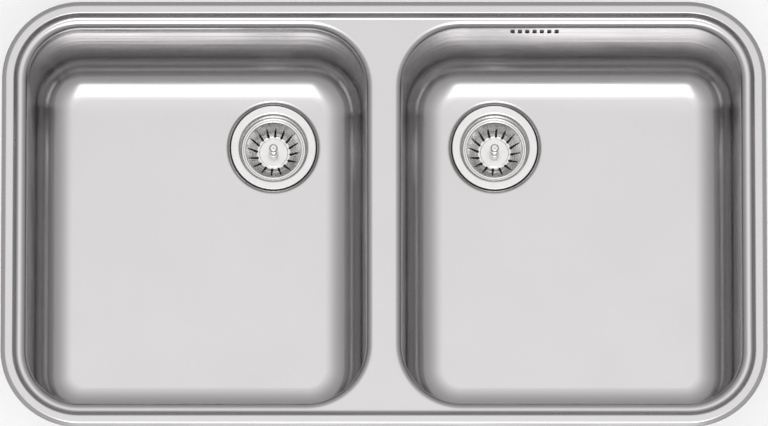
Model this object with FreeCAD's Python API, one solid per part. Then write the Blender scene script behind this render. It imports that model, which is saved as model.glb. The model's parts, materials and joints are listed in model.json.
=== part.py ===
"""Double bowl inset kitchen sink in pressed stainless steel, with its basket strainer wastes,
slotted overflow and worktop clips.

Frame, in millimetres: +X to the right, +Y to the rear (tap side), +Z up. The origin is the middle
of the sink on the plane of the worktop, which the underside of the rim rests on.
"""
import FreeCAD, Part

import math
import os

Vec = FreeCAD.Vector
UP = Vec(0, 0, 1)

# ---- sheet metal top -------------------------------------------------------------------------
SHEET = 1.0                 # thickness of the pressed steel
SINK_LENGTH = 780.0         # outside, along X
SINK_WIDTH = 440.0          # outside, along Y
CORNER_RADIUS = 80.0        # outside corners of the rim
RIM_HEIGHT = 3.5            # top of the rim above the worktop
RIM_LIP = 0.5               # upright edge that bites on the worktop
RIM_EDGE_BEND = 1.3         # radius at the top of that edge
RIM_SLOPE = 25.0            # degrees, the sloping outer band
RIM_FLAT = 6.65             # flat band on top of the rim
STEP_ANGLE = 60.0           # degrees, the face that drops from the rim to the deck
STEP_TOP_BEND = 2.0
STEP_FOOT_BEND = 4.0
DECK_DROP = 6.0             # rim top down to the deck
LEDGE = 1.0                 # narrowest strip of flat deck beside a bowl

# ---- bowls -----------------------------------------------------------------------------------
DIVIDER = 22.0              # flat strip of deck between the bowls
BOWL_DEPTH = 175.0          # deck to bowl floor
ROLL_RADIUS = 7.0           # rolled edge from the deck into a bowl
WALL_DRAFT = 2.5            # degrees, walls lean in towards the floor
FLOOR_RADIUS = 37.0         # between wall and floor
BOWL_CORNER_INNER = 68.0    # corner radius beside the divider, where the roll starts
COLLAR_DROP = 1.5           # straight collar below the roll, down to the welded seam

# ---- drain recess ----------------------------------------------------------------------------
DRAIN_FROM_REAR = 99.5      # roll edge to drain centre
DRAIN_FROM_DIVIDER = 103.5  # roll edge to drain centre
RECESS_RADIUS = 49.0
RECESS_DEPTH = 3.5
RECESS_ANGLE = 60.0
DRAIN_HOLE_RADIUS = 36.0

# ---- overflow slots --------------------------------------------------------------------------
SLOT_COUNT = 7
SLOT_PITCH = 7.5
SLOT_WIDTH = 4.4
SLOT_HEIGHT = 17.0
SLOT_TOP = 10.8             # below the deck
OVERFLOW_FROM_DIVIDER = 143.0   # roll edge to the middle of the slots

# ---- strainer cup ----------------------------------------------------------------------------
CUP_SHEET = 1.0
FLANGE_RADIUS = 44.0
FLANGE_FLAT = 8.0
THROAT_BEVEL = 2.4          # slanting edge between the flange and the throat
THROAT_DRAFT = 3.0
THROAT_DEPTH = 13.7         # flange top to the ledge that carries the basket
CUP_LEDGE = 4.0
CUP_CONE_ANGLE = 68.0
CUP_DEPTH = 44.5            # flange top to the bottom of the cup
CUP_HOLE_RADIUS = 3.3
CUP_OUTLETS = 6
CUP_OUTLET_RADIUS = 4.0
CUP_OUTLET_CIRCLE = 10.4
FLANGE_SEAL = 1.0           # thickness of the sealing ring under the flange
FLANGE_SEAL_WIDTH = 5.0

# ---- basket ----------------------------------------------------------------------------------
BASKET_SHEET = 0.6
BASKET_GAP = 0.3            # play above the ledge of the cup
BASKET_RIM_RADIUS = 31.2
BASKET_RIM_WIDTH = 2.4
BASKET_ANGLE = 60.0
BASKET_DEPTH = 19.0
BASKET_DISC_RADIUS = 15.2
BASKET_DISC_RISE = 0.8      # low step round the middle disc
BASKET_DISC_ANGLE = 45.0
BASKET_SLOTS = 16
BASKET_SLOT_WIDTH = 1.8
BASKET_SLOT_HOLE = 1.2      # radius of the round inner end of each slot
BASKET_SLOT_CIRCLE = 17.4
BASKET_SLOT_REACH = 27.0
BASKET_SLOT_TURN = 17.4     # degrees, where the first slot stands
KNOB_RADIUS = 4.3
KNOB_NECK_RADIUS = 3.1
KNOB_HEIGHT = 29.0
KNOB_HEAD = 8.0
KNOB_FOOT_RADIUS = 5.0
KNOB_FOOT = 1.5
PLUG_THICKNESS = 3.0        # rubber stopper under the basket
PLUG_GAP = 0.4              # stopper to the cone of the cup
RETAINER_RADIUS = 12.0
RETAINER_THICKNESS = 0.8
PIN_RADIUS = 2.2            # foot of the knob that centres in the screw
PIN_LENGTH = 5.0

# ---- waste body ------------------------------------------------------------------------------
BODY_WALL = 2.5
BODY_SEAL = 2.0             # thickness of the rubber washer under the bowl
BODY_FLANGE_RADIUS = 46.0
BODY_FLANGE = 4.0
BODY_BORE_GAP = 0.5         # drain hole to the bore of the body
BODY_STRAIGHT = 14.0
BODY_WAIST_RADIUS = 27.5
BODY_WAIST_DEPTH = 48.0     # bowl floor to the waist
BODY_NECK_DEPTH = 74.0
BODY_LENGTH = 100.0         # bowl floor to the outlet's end
OUTLET_THREAD_RADIUS = 23.9
OUTLET_BORE_RADIUS = 19.5
OUTLET_THREAD_LENGTH = 20.0
BOSS_RADIUS = 7.0
BOSS_DEPTH = 52.0
BOSS_LENGTH = 14.0
BOSS_RIBS = 4
BOSS_RIB = 3.0
SCREW_RADIUS = 3.0
SCREW_HEAD_RADIUS = 5.6
SCREW_HEAD = 4.5
SCREW_SOCKET_RADIUS = 2.6
SCREW_SOCKET_DEPTH = 3.8
SCREW_LENGTH = 19.0

# ---- overflow fitting ------------------------------------------------------------------------
PIPE_RADIUS = 10.0
PIPE_WALL = 1.6
PIPE_BEND = 28.0
PIPE_OFFSET = 12.6          # back of the bowl's wall to the pipe's centre line
PIPE_FIT = 0.2              # play of the pipe in its sockets
SPIGOT_WALL = 2.2
SPIGOT_DEPTH = 40.0         # bowl floor down to the inlet's centre line
SPIGOT_REACH = 52.0         # drain centre to the inlet's mouth
PIPE_ENGAGE = 12.0          # pipe inside each of its sockets
PIPE_SEAL = 2.0
PIPE_NUT_GRIP = 10.0        # nut over the spigot
PIPE_NUT_WALL = 2.8
PIPE_NUT_RIBS = 12
PIPE_NUT_RIB = 1.5
BOX_SEAL = 2.0
BOX_LENGTH = 66.0
BOX_HEIGHT = 27.0
BOX_DEPTH = 11.0
BOX_WALL = 2.0
BOX_MARGIN = 3.0            # top edge of the box above the slots
BOX_CORNER = 3.0
HOPPER_HEIGHT = 16.0
EAR_REACH = 12.0
EAR_HEIGHT = 12.0
EAR_THICKNESS = 3.0
STUD_RADIUS = 2.0
STUD_LENGTH = 10.0
STUD_FIT = 0.2
STUD_NUT_ACROSS = 7.0       # across the flats
STUD_NUT_HEIGHT = 3.2

# ---- worktop clips ---------------------------------------------------------------------------
CLIP_X = (90.0, 285.0)      # middle of the sink to each clip of a long side
CLIP_SCREW_FROM_WALL = 9.5  # back of the bowl's wall, at the tab, to the clip's screw
BRACKET_SHEET = 2.0
BRACKET_WIDTH = 16.0
BRACKET_TOP = 19.0          # below the worktop's surface
BRACKET_HEIGHT = 17.0
BRACKET_TAB = 3.0
BRACKET_TAB_OVER = 5.0      # tab beyond the screw
BRACKET_CORNER = 3.0
CLIP_SCREW_RADIUS = 2.5
CLIP_SCREW_TIP = 2.0        # above the tab, with the clip slack
CLIP_SCREW_HEAD_RADIUS = 4.5
CLIP_SCREW_HEAD = 3.5
CLIP_SCREW_SLOT = 1.2
CLIP_SCREW_SLOT_DEPTH = 1.6
CLAW_DROP = 12.0            # tab down to the arm, with the clip slack
CLAW_SHEET = 2.5
CLAW_BEND = 4.0             # outside radius of the bend
CLAW_WIDTH = 12.0
CLAW_REACH = 34.0
CLAW_TIP = 8.5              # height of the turned up end
CLAW_TEETH = 3
CLAW_TOOTH = 2.2
CLAW_FIT = 0.3              # play round the screw
CLAW_GAP = 0.2              # arm to the screw's head

# ---- earthing tag ----------------------------------------------------------------------------
TAG_X = -200.0
TAG_SHEET = 1.0
TAG_WIDTH = 10.0
TAG_TOP = 22.0              # below the worktop's surface
TAG_HEIGHT = 9.0
TAG_REACH = 12.0
TAG_CORNER = 2.5
TAG_HOLE_RADIUS = 2.6

# ---- seals and pads --------------------------------------------------------------------------
RIM_SEAL_MARGIN = 0.3       # strip to each end of the rim's flat band
PAD_LENGTH = 220.0
PAD_WIDTH = 150.0
PAD_THICKNESS = 2.5
PAD_CORNER = 20.0
PAD_FORWARD = 45.0          # middle of the bowl to the middle of the pad

DECK_Z = RIM_HEIGHT - DECK_DROP
FLOOR_Z = DECK_Z - BOWL_DEPTH
DRAFT = math.radians(WALL_DRAFT)


# ---- sheet sections and how they are carried -------------------------------------------------
def place(x, y, z=0.0, turn=0.0):
    """Placement at a point, turned about +Z by degrees."""
    return FreeCAD.Placement(Vec(x, y, z), FreeCAD.Rotation(UP, turn))


def section_point(point):
    return Vec(point[0], 0, point[1])


class Section:
    """Outline of bent sheet in the XZ plane: a top line of straights and bends, and its thickness below."""

    def __init__(self, x, z, heading, thickness):
        self.at = (x, z)
        self.heading = math.radians(heading)
        self.thickness = thickness
        self.under_at = self.below(self.at, self.heading)
        self.top = []
        self.under = []

    def side(self, point, heading, distance):
        """The point that far to the left of a heading; negative is to the right."""
        return (point[0] - math.sin(heading) * distance, point[1] + math.cos(heading) * distance)

    def below(self, point, heading):
        return self.side(point, heading, -self.thickness)

    def extend(self, top, under):
        """Carries both lines on, each to the middle (None on a straight) and end of the next stretch."""
        self.top.append((self.at, *top))
        self.under.append((self.under_at, *under))
        self.at, self.under_at = top[-1], under[-1]
        return self

    def line(self, length):
        end = (self.at[0] + math.cos(self.heading) * length, self.at[1] + math.sin(self.heading) * length)
        return self.extend((None, end), (None, self.below(end, self.heading)))

    def bend(self, radius, turn):
        """An arc of the top line: turn in degrees, positive to the left."""
        sweep = math.radians(turn)
        signed = math.copysign(radius, sweep)
        centre = self.side(self.at, self.heading, signed)
        headings = (self.heading + sweep / 2, self.heading + sweep)
        top = [self.side(centre, h, -signed) for h in headings]
        self.heading = headings[-1]
        return self.extend(top, [self.below(p, h) for p, h in zip(top, headings)])

    def turn(self, degrees):
        """A sharp corner after a straight, mitred underneath."""
        half = math.radians(degrees) / 2
        mitre = self.side(self.at, self.heading + half, -self.thickness / math.cos(half))
        self.under[-1] = (*self.under[-1][:2], mitre)
        self.under_at = mitre
        self.heading += 2 * half
        return self

    def reach(self, z):
        """A straight along the heading as far as that height."""
        return self.line((z - self.at[1]) / math.sin(self.heading))

    def in_to(self, x):
        return self.line((x - self.at[0]) / math.cos(self.heading))

    def face(self):
        def edges(parts):
            for a, m, b in parts:
                a, b = section_point(a), section_point(b)
                yield Part.makeLine(a, b) if m is None else Part.Arc(a, section_point(m), b).toShape()
        start = Part.makeLine(section_point(self.under[0][0]), section_point(self.top[0][0]))
        end = Part.makeLine(section_point(self.top[-1][2]), section_point(self.under[-1][2]))
        loop = [start, *edges(self.top), end, *edges(self.under)]
        return Part.Face(Part.Wire(Part.__sortEdges__(loop)))


def bend_height(radius, angle):
    """Height that a bend between the level and an angle takes."""
    return radius * (1 - math.cos(math.radians(angle)))


class Outline:
    """Rectangle with a radius at each corner. Corners run anticlockwise from the rear right one."""

    def __init__(self, left, right, front, rear, radii):
        self.left, self.right, self.front, self.rear = left, right, front, rear
        self.radii = radii

    def inset(self, distance):
        return Outline(self.left + distance, self.right - distance, self.front + distance,
                       self.rear - distance, [r - distance for r in self.radii])

    def sides(self):
        """Start, end and outward turn of each side, anticlockwise from the right one."""
        a, b, c, d = self.radii
        return [
            (Vec(self.right, self.front + d, 0), Vec(self.right, self.rear - a, 0), 0),
            (Vec(self.right - a, self.rear, 0), Vec(self.left + b, self.rear, 0), 90),
            (Vec(self.left, self.rear - b, 0), Vec(self.left, self.front + c, 0), 180),
            (Vec(self.left + c, self.front, 0), Vec(self.right - d, self.front, 0), 270),
        ]

    def wire(self, z):
        edges = []
        sides = self.sides()
        for i, (start, end, turn) in enumerate(sides):
            after = sides[(i + 1) % 4][0]
            radius = self.radii[i]
            out = Vec(math.cos(math.radians(turn)), math.sin(math.radians(turn)), 0)
            centre = end - out * radius
            half = math.radians(turn + 45)
            middle = centre + Vec(math.cos(half), math.sin(half), 0) * radius
            edges.append(Part.makeLine(start, end))
            edges.append(Part.Arc(end, middle, after).toShape())
        wire = Part.Wire(edges)
        wire.translate(Vec(0, 0, z))
        return wire

    def plate(self, top, thickness, holes=()):
        face = Part.makeFace([self.wire(top), *holes], "Part::FaceMakerBullseye")
        return face.extrude(Vec(0, 0, -thickness))

    def carry(self, face):
        """Sweeps a section round the outline. The section's +X is its distance in from the outline."""
        pieces = []
        for i, (start, end, turn) in enumerate(self.sides()):
            out = Vec(math.cos(math.radians(turn)), math.sin(math.radians(turn)), 0)
            straight = face.copy()
            straight.Placement = place(start.x, start.y, 0, turn + 180)
            pieces.append(straight.extrude(end - start))
            corner = face.copy()
            corner.Placement = place(end.x, end.y, 0, turn + 180)
            pieces.append(corner.revolve(end - out * self.radii[i], UP, 90))
        return pieces


def joined(pieces):
    return pieces[0].multiFuse(pieces[1:]).removeSplitter()


def ring(outer, inner, low, high, centre=Vec(0, 0, 0)):
    at = Vec(centre.x, centre.y, low)
    return Part.makeCylinder(outer, high - low, at).cut(Part.makeCylinder(inner, high - low, at))


def lathe(points, centre):
    """Turns a closed outline of (radius, height) points about the upright through centre."""
    wire = Part.makePolygon([Vec(r, 0, z) for r, z in [*points, points[0]]])
    solid = Part.Face(wire).revolve(Vec(0, 0, 0), UP, 360)
    solid.translate(Vec(centre.x, centre.y, 0))
    return solid


def turned_sheet(section, radius, centre):
    """Turns a sheet section, whose +X runs in from a radius, about the upright through centre."""
    face = section.face()
    face.Placement = place(radius, 0, 0, 180)
    solid = face.revolve(Vec(0, 0, 0), UP, 360)
    solid.translate(Vec(centre.x, centre.y, 0))
    return solid


# ---- the pressed top -------------------------------------------------------------------------
def rim_slope_section():
    """From the lip on the worktop up the sloping band to the start of the flat one."""
    section = Section(0, 0, 90, SHEET).line(RIM_LIP).bend(RIM_EDGE_BEND, RIM_SLOPE - 90)
    return section.reach(RIM_HEIGHT).turn(-RIM_SLOPE)


def rim_section():
    section = rim_slope_section().line(RIM_FLAT).bend(STEP_TOP_BEND, -STEP_ANGLE)
    return section.reach(DECK_Z + bend_height(STEP_FOOT_BEND, STEP_ANGLE)).bend(STEP_FOOT_BEND, STEP_ANGLE)


SINK = Outline(-SINK_LENGTH / 2, SINK_LENGTH / 2, -SINK_WIDTH / 2, SINK_WIDTH / 2, [CORNER_RADIUS] * 4)
RIM_INSET = rim_section().at[0]
BOWL_INSET = RIM_INSET + LEDGE


def bowl_outline(side):
    """Where the deck starts to roll into the bowl; side is -1 for the left bowl, 1 for the right."""
    outer = SINK.inset(BOWL_INSET)
    corner = CORNER_RADIUS - BOWL_INSET
    near, far = DIVIDER / 2, outer.right
    radii = [corner, BOWL_CORNER_INNER, BOWL_CORNER_INNER, corner]
    if side > 0:
        return Outline(near, far, outer.front, outer.rear, radii)
    return Outline(-far, -near, outer.front, outer.rear, [radii[1], radii[0], radii[3], radii[2]])


def collar_section():
    return Section(0, DECK_Z, 0, SHEET).bend(ROLL_RADIUS, WALL_DRAFT - 90).line(COLLAR_DROP)


def wall_section():
    collar = collar_section()
    section = Section(*collar.at, WALL_DRAFT - 90, SHEET)
    floor_turn = 90 - WALL_DRAFT
    return section.reach(FLOOR_Z + bend_height(FLOOR_RADIUS, floor_turn)).bend(FLOOR_RADIUS, floor_turn)


FLOOR_INSET = wall_section().at[0]


def wall_back(z):
    """Y of the back of a bowl's rear wall, at a height on the straight of the wall."""
    collar = collar_section()
    inset = collar.at[0] + (collar.at[1] - z) * math.tan(DRAFT) - SHEET / math.cos(DRAFT)
    return bowl_outline(1).rear - inset


def drain_centre(side):
    outline = bowl_outline(side)
    return Vec(side * (DIVIDER / 2 + DRAIN_FROM_DIVIDER), outline.rear - DRAIN_FROM_REAR, FLOOR_Z)


def deck_frame():
    holes = [bowl_outline(side).wire(DECK_Z) for side in (-1, 1)]
    pieces = SINK.carry(rim_section().face())
    pieces.append(SINK.inset(RIM_INSET).plate(DECK_Z, SHEET, holes))
    for side in (-1, 1):
        pieces += bowl_outline(side).carry(collar_section().face())
    return joined(pieces)


def overflow_x():
    return DIVIDER / 2 + OVERFLOW_FROM_DIVIDER


def overflow_slots():
    slots = []
    radius = SLOT_WIDTH / 2
    high, low = DECK_Z - SLOT_TOP - radius, DECK_Z - SLOT_TOP - SLOT_HEIGHT + radius
    back = Vec(0, SLOT_HEIGHT * 2, 0)
    y = wall_back(low) - SLOT_HEIGHT
    for i in range(SLOT_COUNT):
        x = overflow_x() + (i - (SLOT_COUNT - 1) / 2) * SLOT_PITCH
        left, right = x - radius, x + radius
        wire = Part.Wire([
            Part.makeLine(Vec(left, y, low), Vec(left, y, high)),
            Part.Arc(Vec(left, y, high), Vec(x, y, high + radius), Vec(right, y, high)).toShape(),
            Part.makeLine(Vec(right, y, high), Vec(right, y, low)),
            Part.Arc(Vec(right, y, low), Vec(x, y, low - radius), Vec(left, y, low)).toShape(),
        ])
        slots.append(Part.Face(wire).extrude(back))
    return slots


def bowl(side):
    outline = bowl_outline(side)
    centre = drain_centre(side)
    pieces = outline.carry(wall_section().face())
    hole = Part.Wire(Part.makeCircle(RECESS_RADIUS, centre))
    pieces.append(outline.inset(FLOOR_INSET).plate(FLOOR_Z, SHEET, [hole]))
    recess = Section(0, FLOOR_Z, -RECESS_ANGLE, SHEET).reach(FLOOR_Z - RECESS_DEPTH).turn(RECESS_ANGLE)
    recess.in_to(RECESS_RADIUS - DRAIN_HOLE_RADIUS)
    pieces.append(turned_sheet(recess, RECESS_RADIUS, centre))
    shell = joined(pieces)
    return shell.cut(Part.makeCompound(overflow_slots())) if side > 0 else shell


# ---- strainer waste --------------------------------------------------------------------------
SEAT_Z = FLOOR_Z - RECESS_DEPTH
FLANGE_Z = SEAT_Z + FLANGE_SEAL + CUP_SHEET
LEDGE_Z = FLANGE_Z - THROAT_DEPTH
CUP_FLOOR_Z = FLANGE_Z - CUP_DEPTH


def cup_shoulder():
    """Flange, throat and the ledge that carries the basket, as far as the top of the cone."""
    throat_turn = 90 - THROAT_DRAFT
    section = Section(0, FLANGE_Z, 0, CUP_SHEET).line(FLANGE_FLAT).turn(-throat_turn / 2).line(THROAT_BEVEL)
    section.turn(-throat_turn / 2).reach(LEDGE_Z)
    return section.turn(throat_turn).line(CUP_LEDGE).turn(-CUP_CONE_ANGLE)


def cup_section():
    section = cup_shoulder().reach(CUP_FLOOR_Z).turn(CUP_CONE_ANGLE)
    return section.in_to(FLANGE_RADIUS - CUP_HOLE_RADIUS)


def cone_radius(z):
    """Inside radius of the cup's cone at a height."""
    inset, top = cup_shoulder().at
    return FLANGE_RADIUS - inset - (top - z) / math.tan(math.radians(CUP_CONE_ANGLE))


def around(centre, radius, count, first=0.0):
    """Points evenly spaced on a circle, with the turn of each in degrees."""
    for i in range(count):
        turn = first + 360.0 * i / count
        angle = math.radians(turn)
        yield Vec(centre.x + radius * math.cos(angle), centre.y + radius * math.sin(angle), 0), turn


def strainer_cup(centre):
    cup = turned_sheet(cup_section(), FLANGE_RADIUS, centre)
    drills = []
    for at, _ in around(centre, CUP_OUTLET_CIRCLE, CUP_OUTLETS):
        low = Vec(at.x, at.y, CUP_FLOOR_Z - 2 * CUP_SHEET)
        drills.append(Part.makeCylinder(CUP_OUTLET_RADIUS, 3 * CUP_SHEET, low))
    return cup.cut(Part.makeCompound(drills))


def flange_seal(centre):
    inner = DRAIN_HOLE_RADIUS + (FLANGE_RADIUS - DRAIN_HOLE_RADIUS - FLANGE_SEAL_WIDTH) / 2
    return ring(inner + FLANGE_SEAL_WIDTH, inner, SEAT_Z, SEAT_Z + FLANGE_SEAL, centre)


BASKET_Z = LEDGE_Z + BASKET_GAP + BASKET_SHEET
BASKET_FLOOR_Z = BASKET_Z - BASKET_DEPTH
DISC_Z = BASKET_FLOOR_Z + BASKET_DISC_RISE


def basket_section():
    """Rim, slotted cone and floor, and the step up to the disc in the middle."""
    section = Section(0, BASKET_Z, 0, BASKET_SHEET).line(BASKET_RIM_WIDTH).turn(-BASKET_ANGLE)
    section.reach(BASKET_FLOOR_Z).turn(BASKET_ANGLE).in_to(BASKET_RIM_RADIUS - BASKET_DISC_RADIUS)
    section.turn(BASKET_DISC_ANGLE).reach(DISC_Z).turn(-BASKET_DISC_ANGLE)
    return section.in_to(BASKET_RIM_RADIUS - PIN_RADIUS)


def basket(centre):
    shell = turned_sheet(basket_section(), BASKET_RIM_RADIUS, centre)
    low, height = BASKET_FLOOR_Z - BASKET_SHEET, BASKET_DEPTH + 2 * BASKET_SHEET
    length = BASKET_SLOT_REACH - BASKET_SLOT_CIRCLE
    cuts = []
    for at, turn in around(centre, BASKET_SLOT_CIRCLE, BASKET_SLOTS, BASKET_SLOT_TURN):
        slot = Part.makeBox(length, BASKET_SLOT_WIDTH, height, Vec(0, -BASKET_SLOT_WIDTH / 2, 0))
        slot.Placement = place(at.x, at.y, low, turn)
        cuts += [slot, Part.makeCylinder(BASKET_SLOT_HOLE, height, Vec(at.x, at.y, low))]
    return shell.cut(Part.makeCompound(cuts))


PLUG_Z = BASKET_FLOOR_Z - BASKET_SHEET
PIN_Z = PLUG_Z - PLUG_THICKNESS - RETAINER_THICKNESS


def basket_plug(centre):
    """Rubber stopper: a disc whose edge follows the cone of the cup."""
    top, low = PLUG_Z, PLUG_Z - PLUG_THICKNESS
    inner = BASKET_SLOT_CIRCLE - BASKET_SLOT_HOLE - PLUG_GAP
    return lathe([(PIN_RADIUS, top), (inner, top), (cone_radius(low) - PLUG_GAP, low + PLUG_THICKNESS / 2),
                  (cone_radius(low) - PLUG_GAP, low), (PIN_RADIUS, low)], centre)


def basket_knob(centre):
    """Pull knob, its stem and the pin under the basket, turned as one."""
    foot = DISC_Z
    top = foot + KNOB_HEIGHT
    neck_top = top - KNOB_HEAD
    chamfer = KNOB_RADIUS - KNOB_NECK_RADIUS
    low = PIN_Z - PIN_LENGTH
    return lathe([(0, top), (KNOB_RADIUS - chamfer, top), (KNOB_RADIUS, top - chamfer),
                  (KNOB_RADIUS, neck_top + chamfer), (KNOB_NECK_RADIUS, neck_top),
                  (KNOB_NECK_RADIUS, foot + KNOB_FOOT), (KNOB_FOOT_RADIUS, foot), (PIN_RADIUS, foot),
                  (PIN_RADIUS, low), (0, low)], centre)


def basket_retainer(centre):
    return ring(RETAINER_RADIUS, PIN_RADIUS, PIN_Z, PIN_Z + RETAINER_THICKNESS, centre)


def body_seal(centre):
    top = SEAT_Z - SHEET
    inner = DRAIN_HOLE_RADIUS + BODY_BORE_GAP
    return ring(BODY_FLANGE_RADIUS - BODY_BORE_GAP, inner, top - BODY_SEAL, top, centre)


def body_outline(grown):
    """Half outline of the waste body's inside, or with its wall's thickness of its outside."""
    top = SEAT_Z - SHEET - BODY_SEAL
    return [(DRAIN_HOLE_RADIUS + BODY_BORE_GAP + grown, top),
            (DRAIN_HOLE_RADIUS + BODY_BORE_GAP + grown, top - BODY_STRAIGHT),
            (BODY_WAIST_RADIUS + grown, FLOOR_Z - BODY_WAIST_DEPTH),
            (BODY_WAIST_RADIUS + grown, FLOOR_Z - BOSS_DEPTH - BOSS_LENGTH)]


def waste_body(centre, has_inlet):
    outlet_z = FLOOR_Z - BODY_LENGTH
    thread_z = outlet_z + OUTLET_THREAD_LENGTH
    neck_z = FLOOR_Z - BODY_NECK_DEPTH
    top = SEAT_Z - SHEET - BODY_SEAL
    outside = lathe([(0, top), (BODY_FLANGE_RADIUS, top), (BODY_FLANGE_RADIUS, top - BODY_FLANGE),
                     (DRAIN_HOLE_RADIUS + BODY_BORE_GAP + BODY_WALL, top - BODY_FLANGE),
                     *body_outline(BODY_WALL)[1:], (OUTLET_THREAD_RADIUS - BODY_WALL / 2, neck_z),
                     (OUTLET_THREAD_RADIUS - BODY_WALL / 2, thread_z), (OUTLET_THREAD_RADIUS, thread_z),
                     (OUTLET_THREAD_RADIUS, outlet_z), (0, outlet_z)], centre)
    inside = lathe([(0, top), *body_outline(0), (OUTLET_BORE_RADIUS, neck_z), (OUTLET_BORE_RADIUS, outlet_z),
                    (0, outlet_z)], centre)
    boss_top = FLOOR_Z - BOSS_DEPTH
    boss = [Part.makeCylinder(BOSS_RADIUS, BOSS_LENGTH, Vec(centre.x, centre.y, boss_top - BOSS_LENGTH))]
    for _, turn in around(centre, 0, BOSS_RIBS, 45):
        rib = Part.makeBox(BODY_WAIST_RADIUS + BODY_WALL / 2, BOSS_RIB, BOSS_LENGTH, Vec(0, -BOSS_RIB / 2, 0))
        rib.Placement = place(centre.x, centre.y, boss_top - BOSS_LENGTH, turn)
        boss.append(rib)
    if has_inlet:
        axis, out = inlet_start(), inlet_direction()
        outside = outside.fuse(Part.makeCylinder(SPIGOT_RADIUS, SPIGOT_REACH, axis, out))
        inside = inside.fuse(Part.makeCylinder(PIPE_RADIUS + PIPE_FIT, SPIGOT_REACH, axis, out))
    body = outside.cut(inside).multiFuse(boss)
    low = Vec(centre.x, centre.y, boss_top - BOSS_LENGTH)
    return body.cut(Part.makeCylinder(SCREW_RADIUS, BOSS_LENGTH, low)).removeSplitter()


def centre_screw(centre):
    at = Vec(centre.x, centre.y, CUP_FLOOR_Z)
    head = Part.makeCylinder(SCREW_HEAD_RADIUS, SCREW_HEAD, at)
    shank = Part.makeCylinder(SCREW_RADIUS, SCREW_LENGTH, at - UP * SCREW_LENGTH)
    socket = Part.makeCylinder(SCREW_SOCKET_RADIUS, SCREW_SOCKET_DEPTH, at + UP * (SCREW_HEAD - SCREW_SOCKET_DEPTH))
    return head.fuse(shank).cut(socket).removeSplitter()


# ---- overflow --------------------------------------------------------------------------------
BOX_TOP_Z = DECK_Z - SLOT_TOP + BOX_MARGIN
SPIGOT_RADIUS = PIPE_RADIUS + PIPE_FIT + SPIGOT_WALL


def wall_placement():
    """The overflow box's own frame: X along the rear wall, Y out from its back, Z up its slant from the box's top."""
    at = Vec(overflow_x(), wall_back(BOX_TOP_Z), BOX_TOP_Z)
    return FreeCAD.Placement(at, FreeCAD.Rotation(Vec(1, 0, 0), -WALL_DRAFT))


def on_wall(shape):
    moved = shape.copy()
    moved.Placement = wall_placement()
    return moved


def centred_box(length, near, far, low, high):
    return Part.makeBox(length, far - near, high - low, Vec(-length / 2, near, low))


def stud_x():
    return BOX_LENGTH / 2 + EAR_REACH / 2


def along_y(radius, near, far, x, z):
    return Part.makeCylinder(radius, far - near, Vec(x, near, z), Vec(0, 1, 0))


def ears(near, far):
    """Plate through both ears, with rounded ends and its stud holes."""
    middle = -BOX_HEIGHT / 2
    plate = centred_box(2 * stud_x(), near, far, middle - EAR_HEIGHT / 2, middle + EAR_HEIGHT / 2)
    ends = [along_y(EAR_HEIGHT / 2, near, far, x, middle) for x in (-stud_x(), stud_x())]
    holes = [along_y(STUD_RADIUS + STUD_FIT, near, far, x, middle) for x in (-stud_x(), stud_x())]
    return plate.multiFuse(ends).cut(Part.makeCompound(holes))


def box_opening(near, far):
    """Space inside the box, a wall's thickness clear of its outside."""
    return centred_box(BOX_LENGTH - 2 * BOX_WALL, near, far, BOX_WALL - BOX_HEIGHT, -BOX_WALL)


def hopper(inset, neck):
    """Funnel from the foot of the box to the square neck over the pipe; neck is half the neck's side."""
    half = BOX_LENGTH / 2 - inset
    near, far = BOX_SEAL + inset, BOX_SEAL + BOX_DEPTH - inset
    funnel = Part.makeWedge(-half, BOX_HEIGHT, near, PIPE_OFFSET - neck, -neck,
                            half, BOX_HEIGHT + HOPPER_HEIGHT, far, PIPE_OFFSET + neck, neck)
    funnel.rotate(Vec(0, 0, 0), Vec(1, 0, 0), -90)
    return funnel


def overflow_box():
    far = BOX_SEAL + BOX_DEPTH
    shell = centred_box(BOX_LENGTH, BOX_SEAL, far, -BOX_HEIGHT, 0)
    top_corners = [e for e in shell.Edges if e.BoundBox.ZLength < BOX_WALL and e.BoundBox.YLength > BOX_WALL
                   and e.CenterOfMass.z > -BOX_WALL]
    shell = shell.makeFillet(BOX_CORNER, top_corners)
    socket = Vec(0, PIPE_OFFSET, -BOX_HEIGHT - HOPPER_HEIGHT - PIPE_ENGAGE)
    neck = PIPE_RADIUS + PIPE_FIT + BOX_WALL
    outside = shell.multiFuse([ears(BOX_SEAL, BOX_SEAL + EAR_THICKNESS), hopper(0, neck),
                               Part.makeCylinder(neck, PIPE_ENGAGE, socket)])
    passage = centred_box(BOX_LENGTH - 2 * BOX_WALL, BOX_SEAL + BOX_WALL, far - BOX_WALL, -BOX_HEIGHT, -BOX_WALL)
    inside = box_opening(BOX_SEAL, far - BOX_WALL).multiFuse(
        [passage, hopper(BOX_WALL, (PIPE_RADIUS - PIPE_WALL) / math.sqrt(2)),
         Part.makeCylinder(PIPE_RADIUS + PIPE_FIT, PIPE_ENGAGE, socket)])
    return on_wall(outside.cut(inside).removeSplitter())


def overflow_gasket():
    frame = centred_box(BOX_LENGTH, 0, BOX_SEAL, -BOX_HEIGHT, 0).cut(box_opening(0, BOX_SEAL))
    arms = ears(0, BOX_SEAL).cut(centred_box(BOX_LENGTH, 0, BOX_SEAL, -BOX_HEIGHT, 0))
    return on_wall(frame.fuse(arms).removeSplitter())


def overflow_studs():
    return [on_wall(along_y(STUD_RADIUS, 0, STUD_LENGTH, x, -BOX_HEIGHT / 2)) for x in (-stud_x(), stud_x())]


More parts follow.
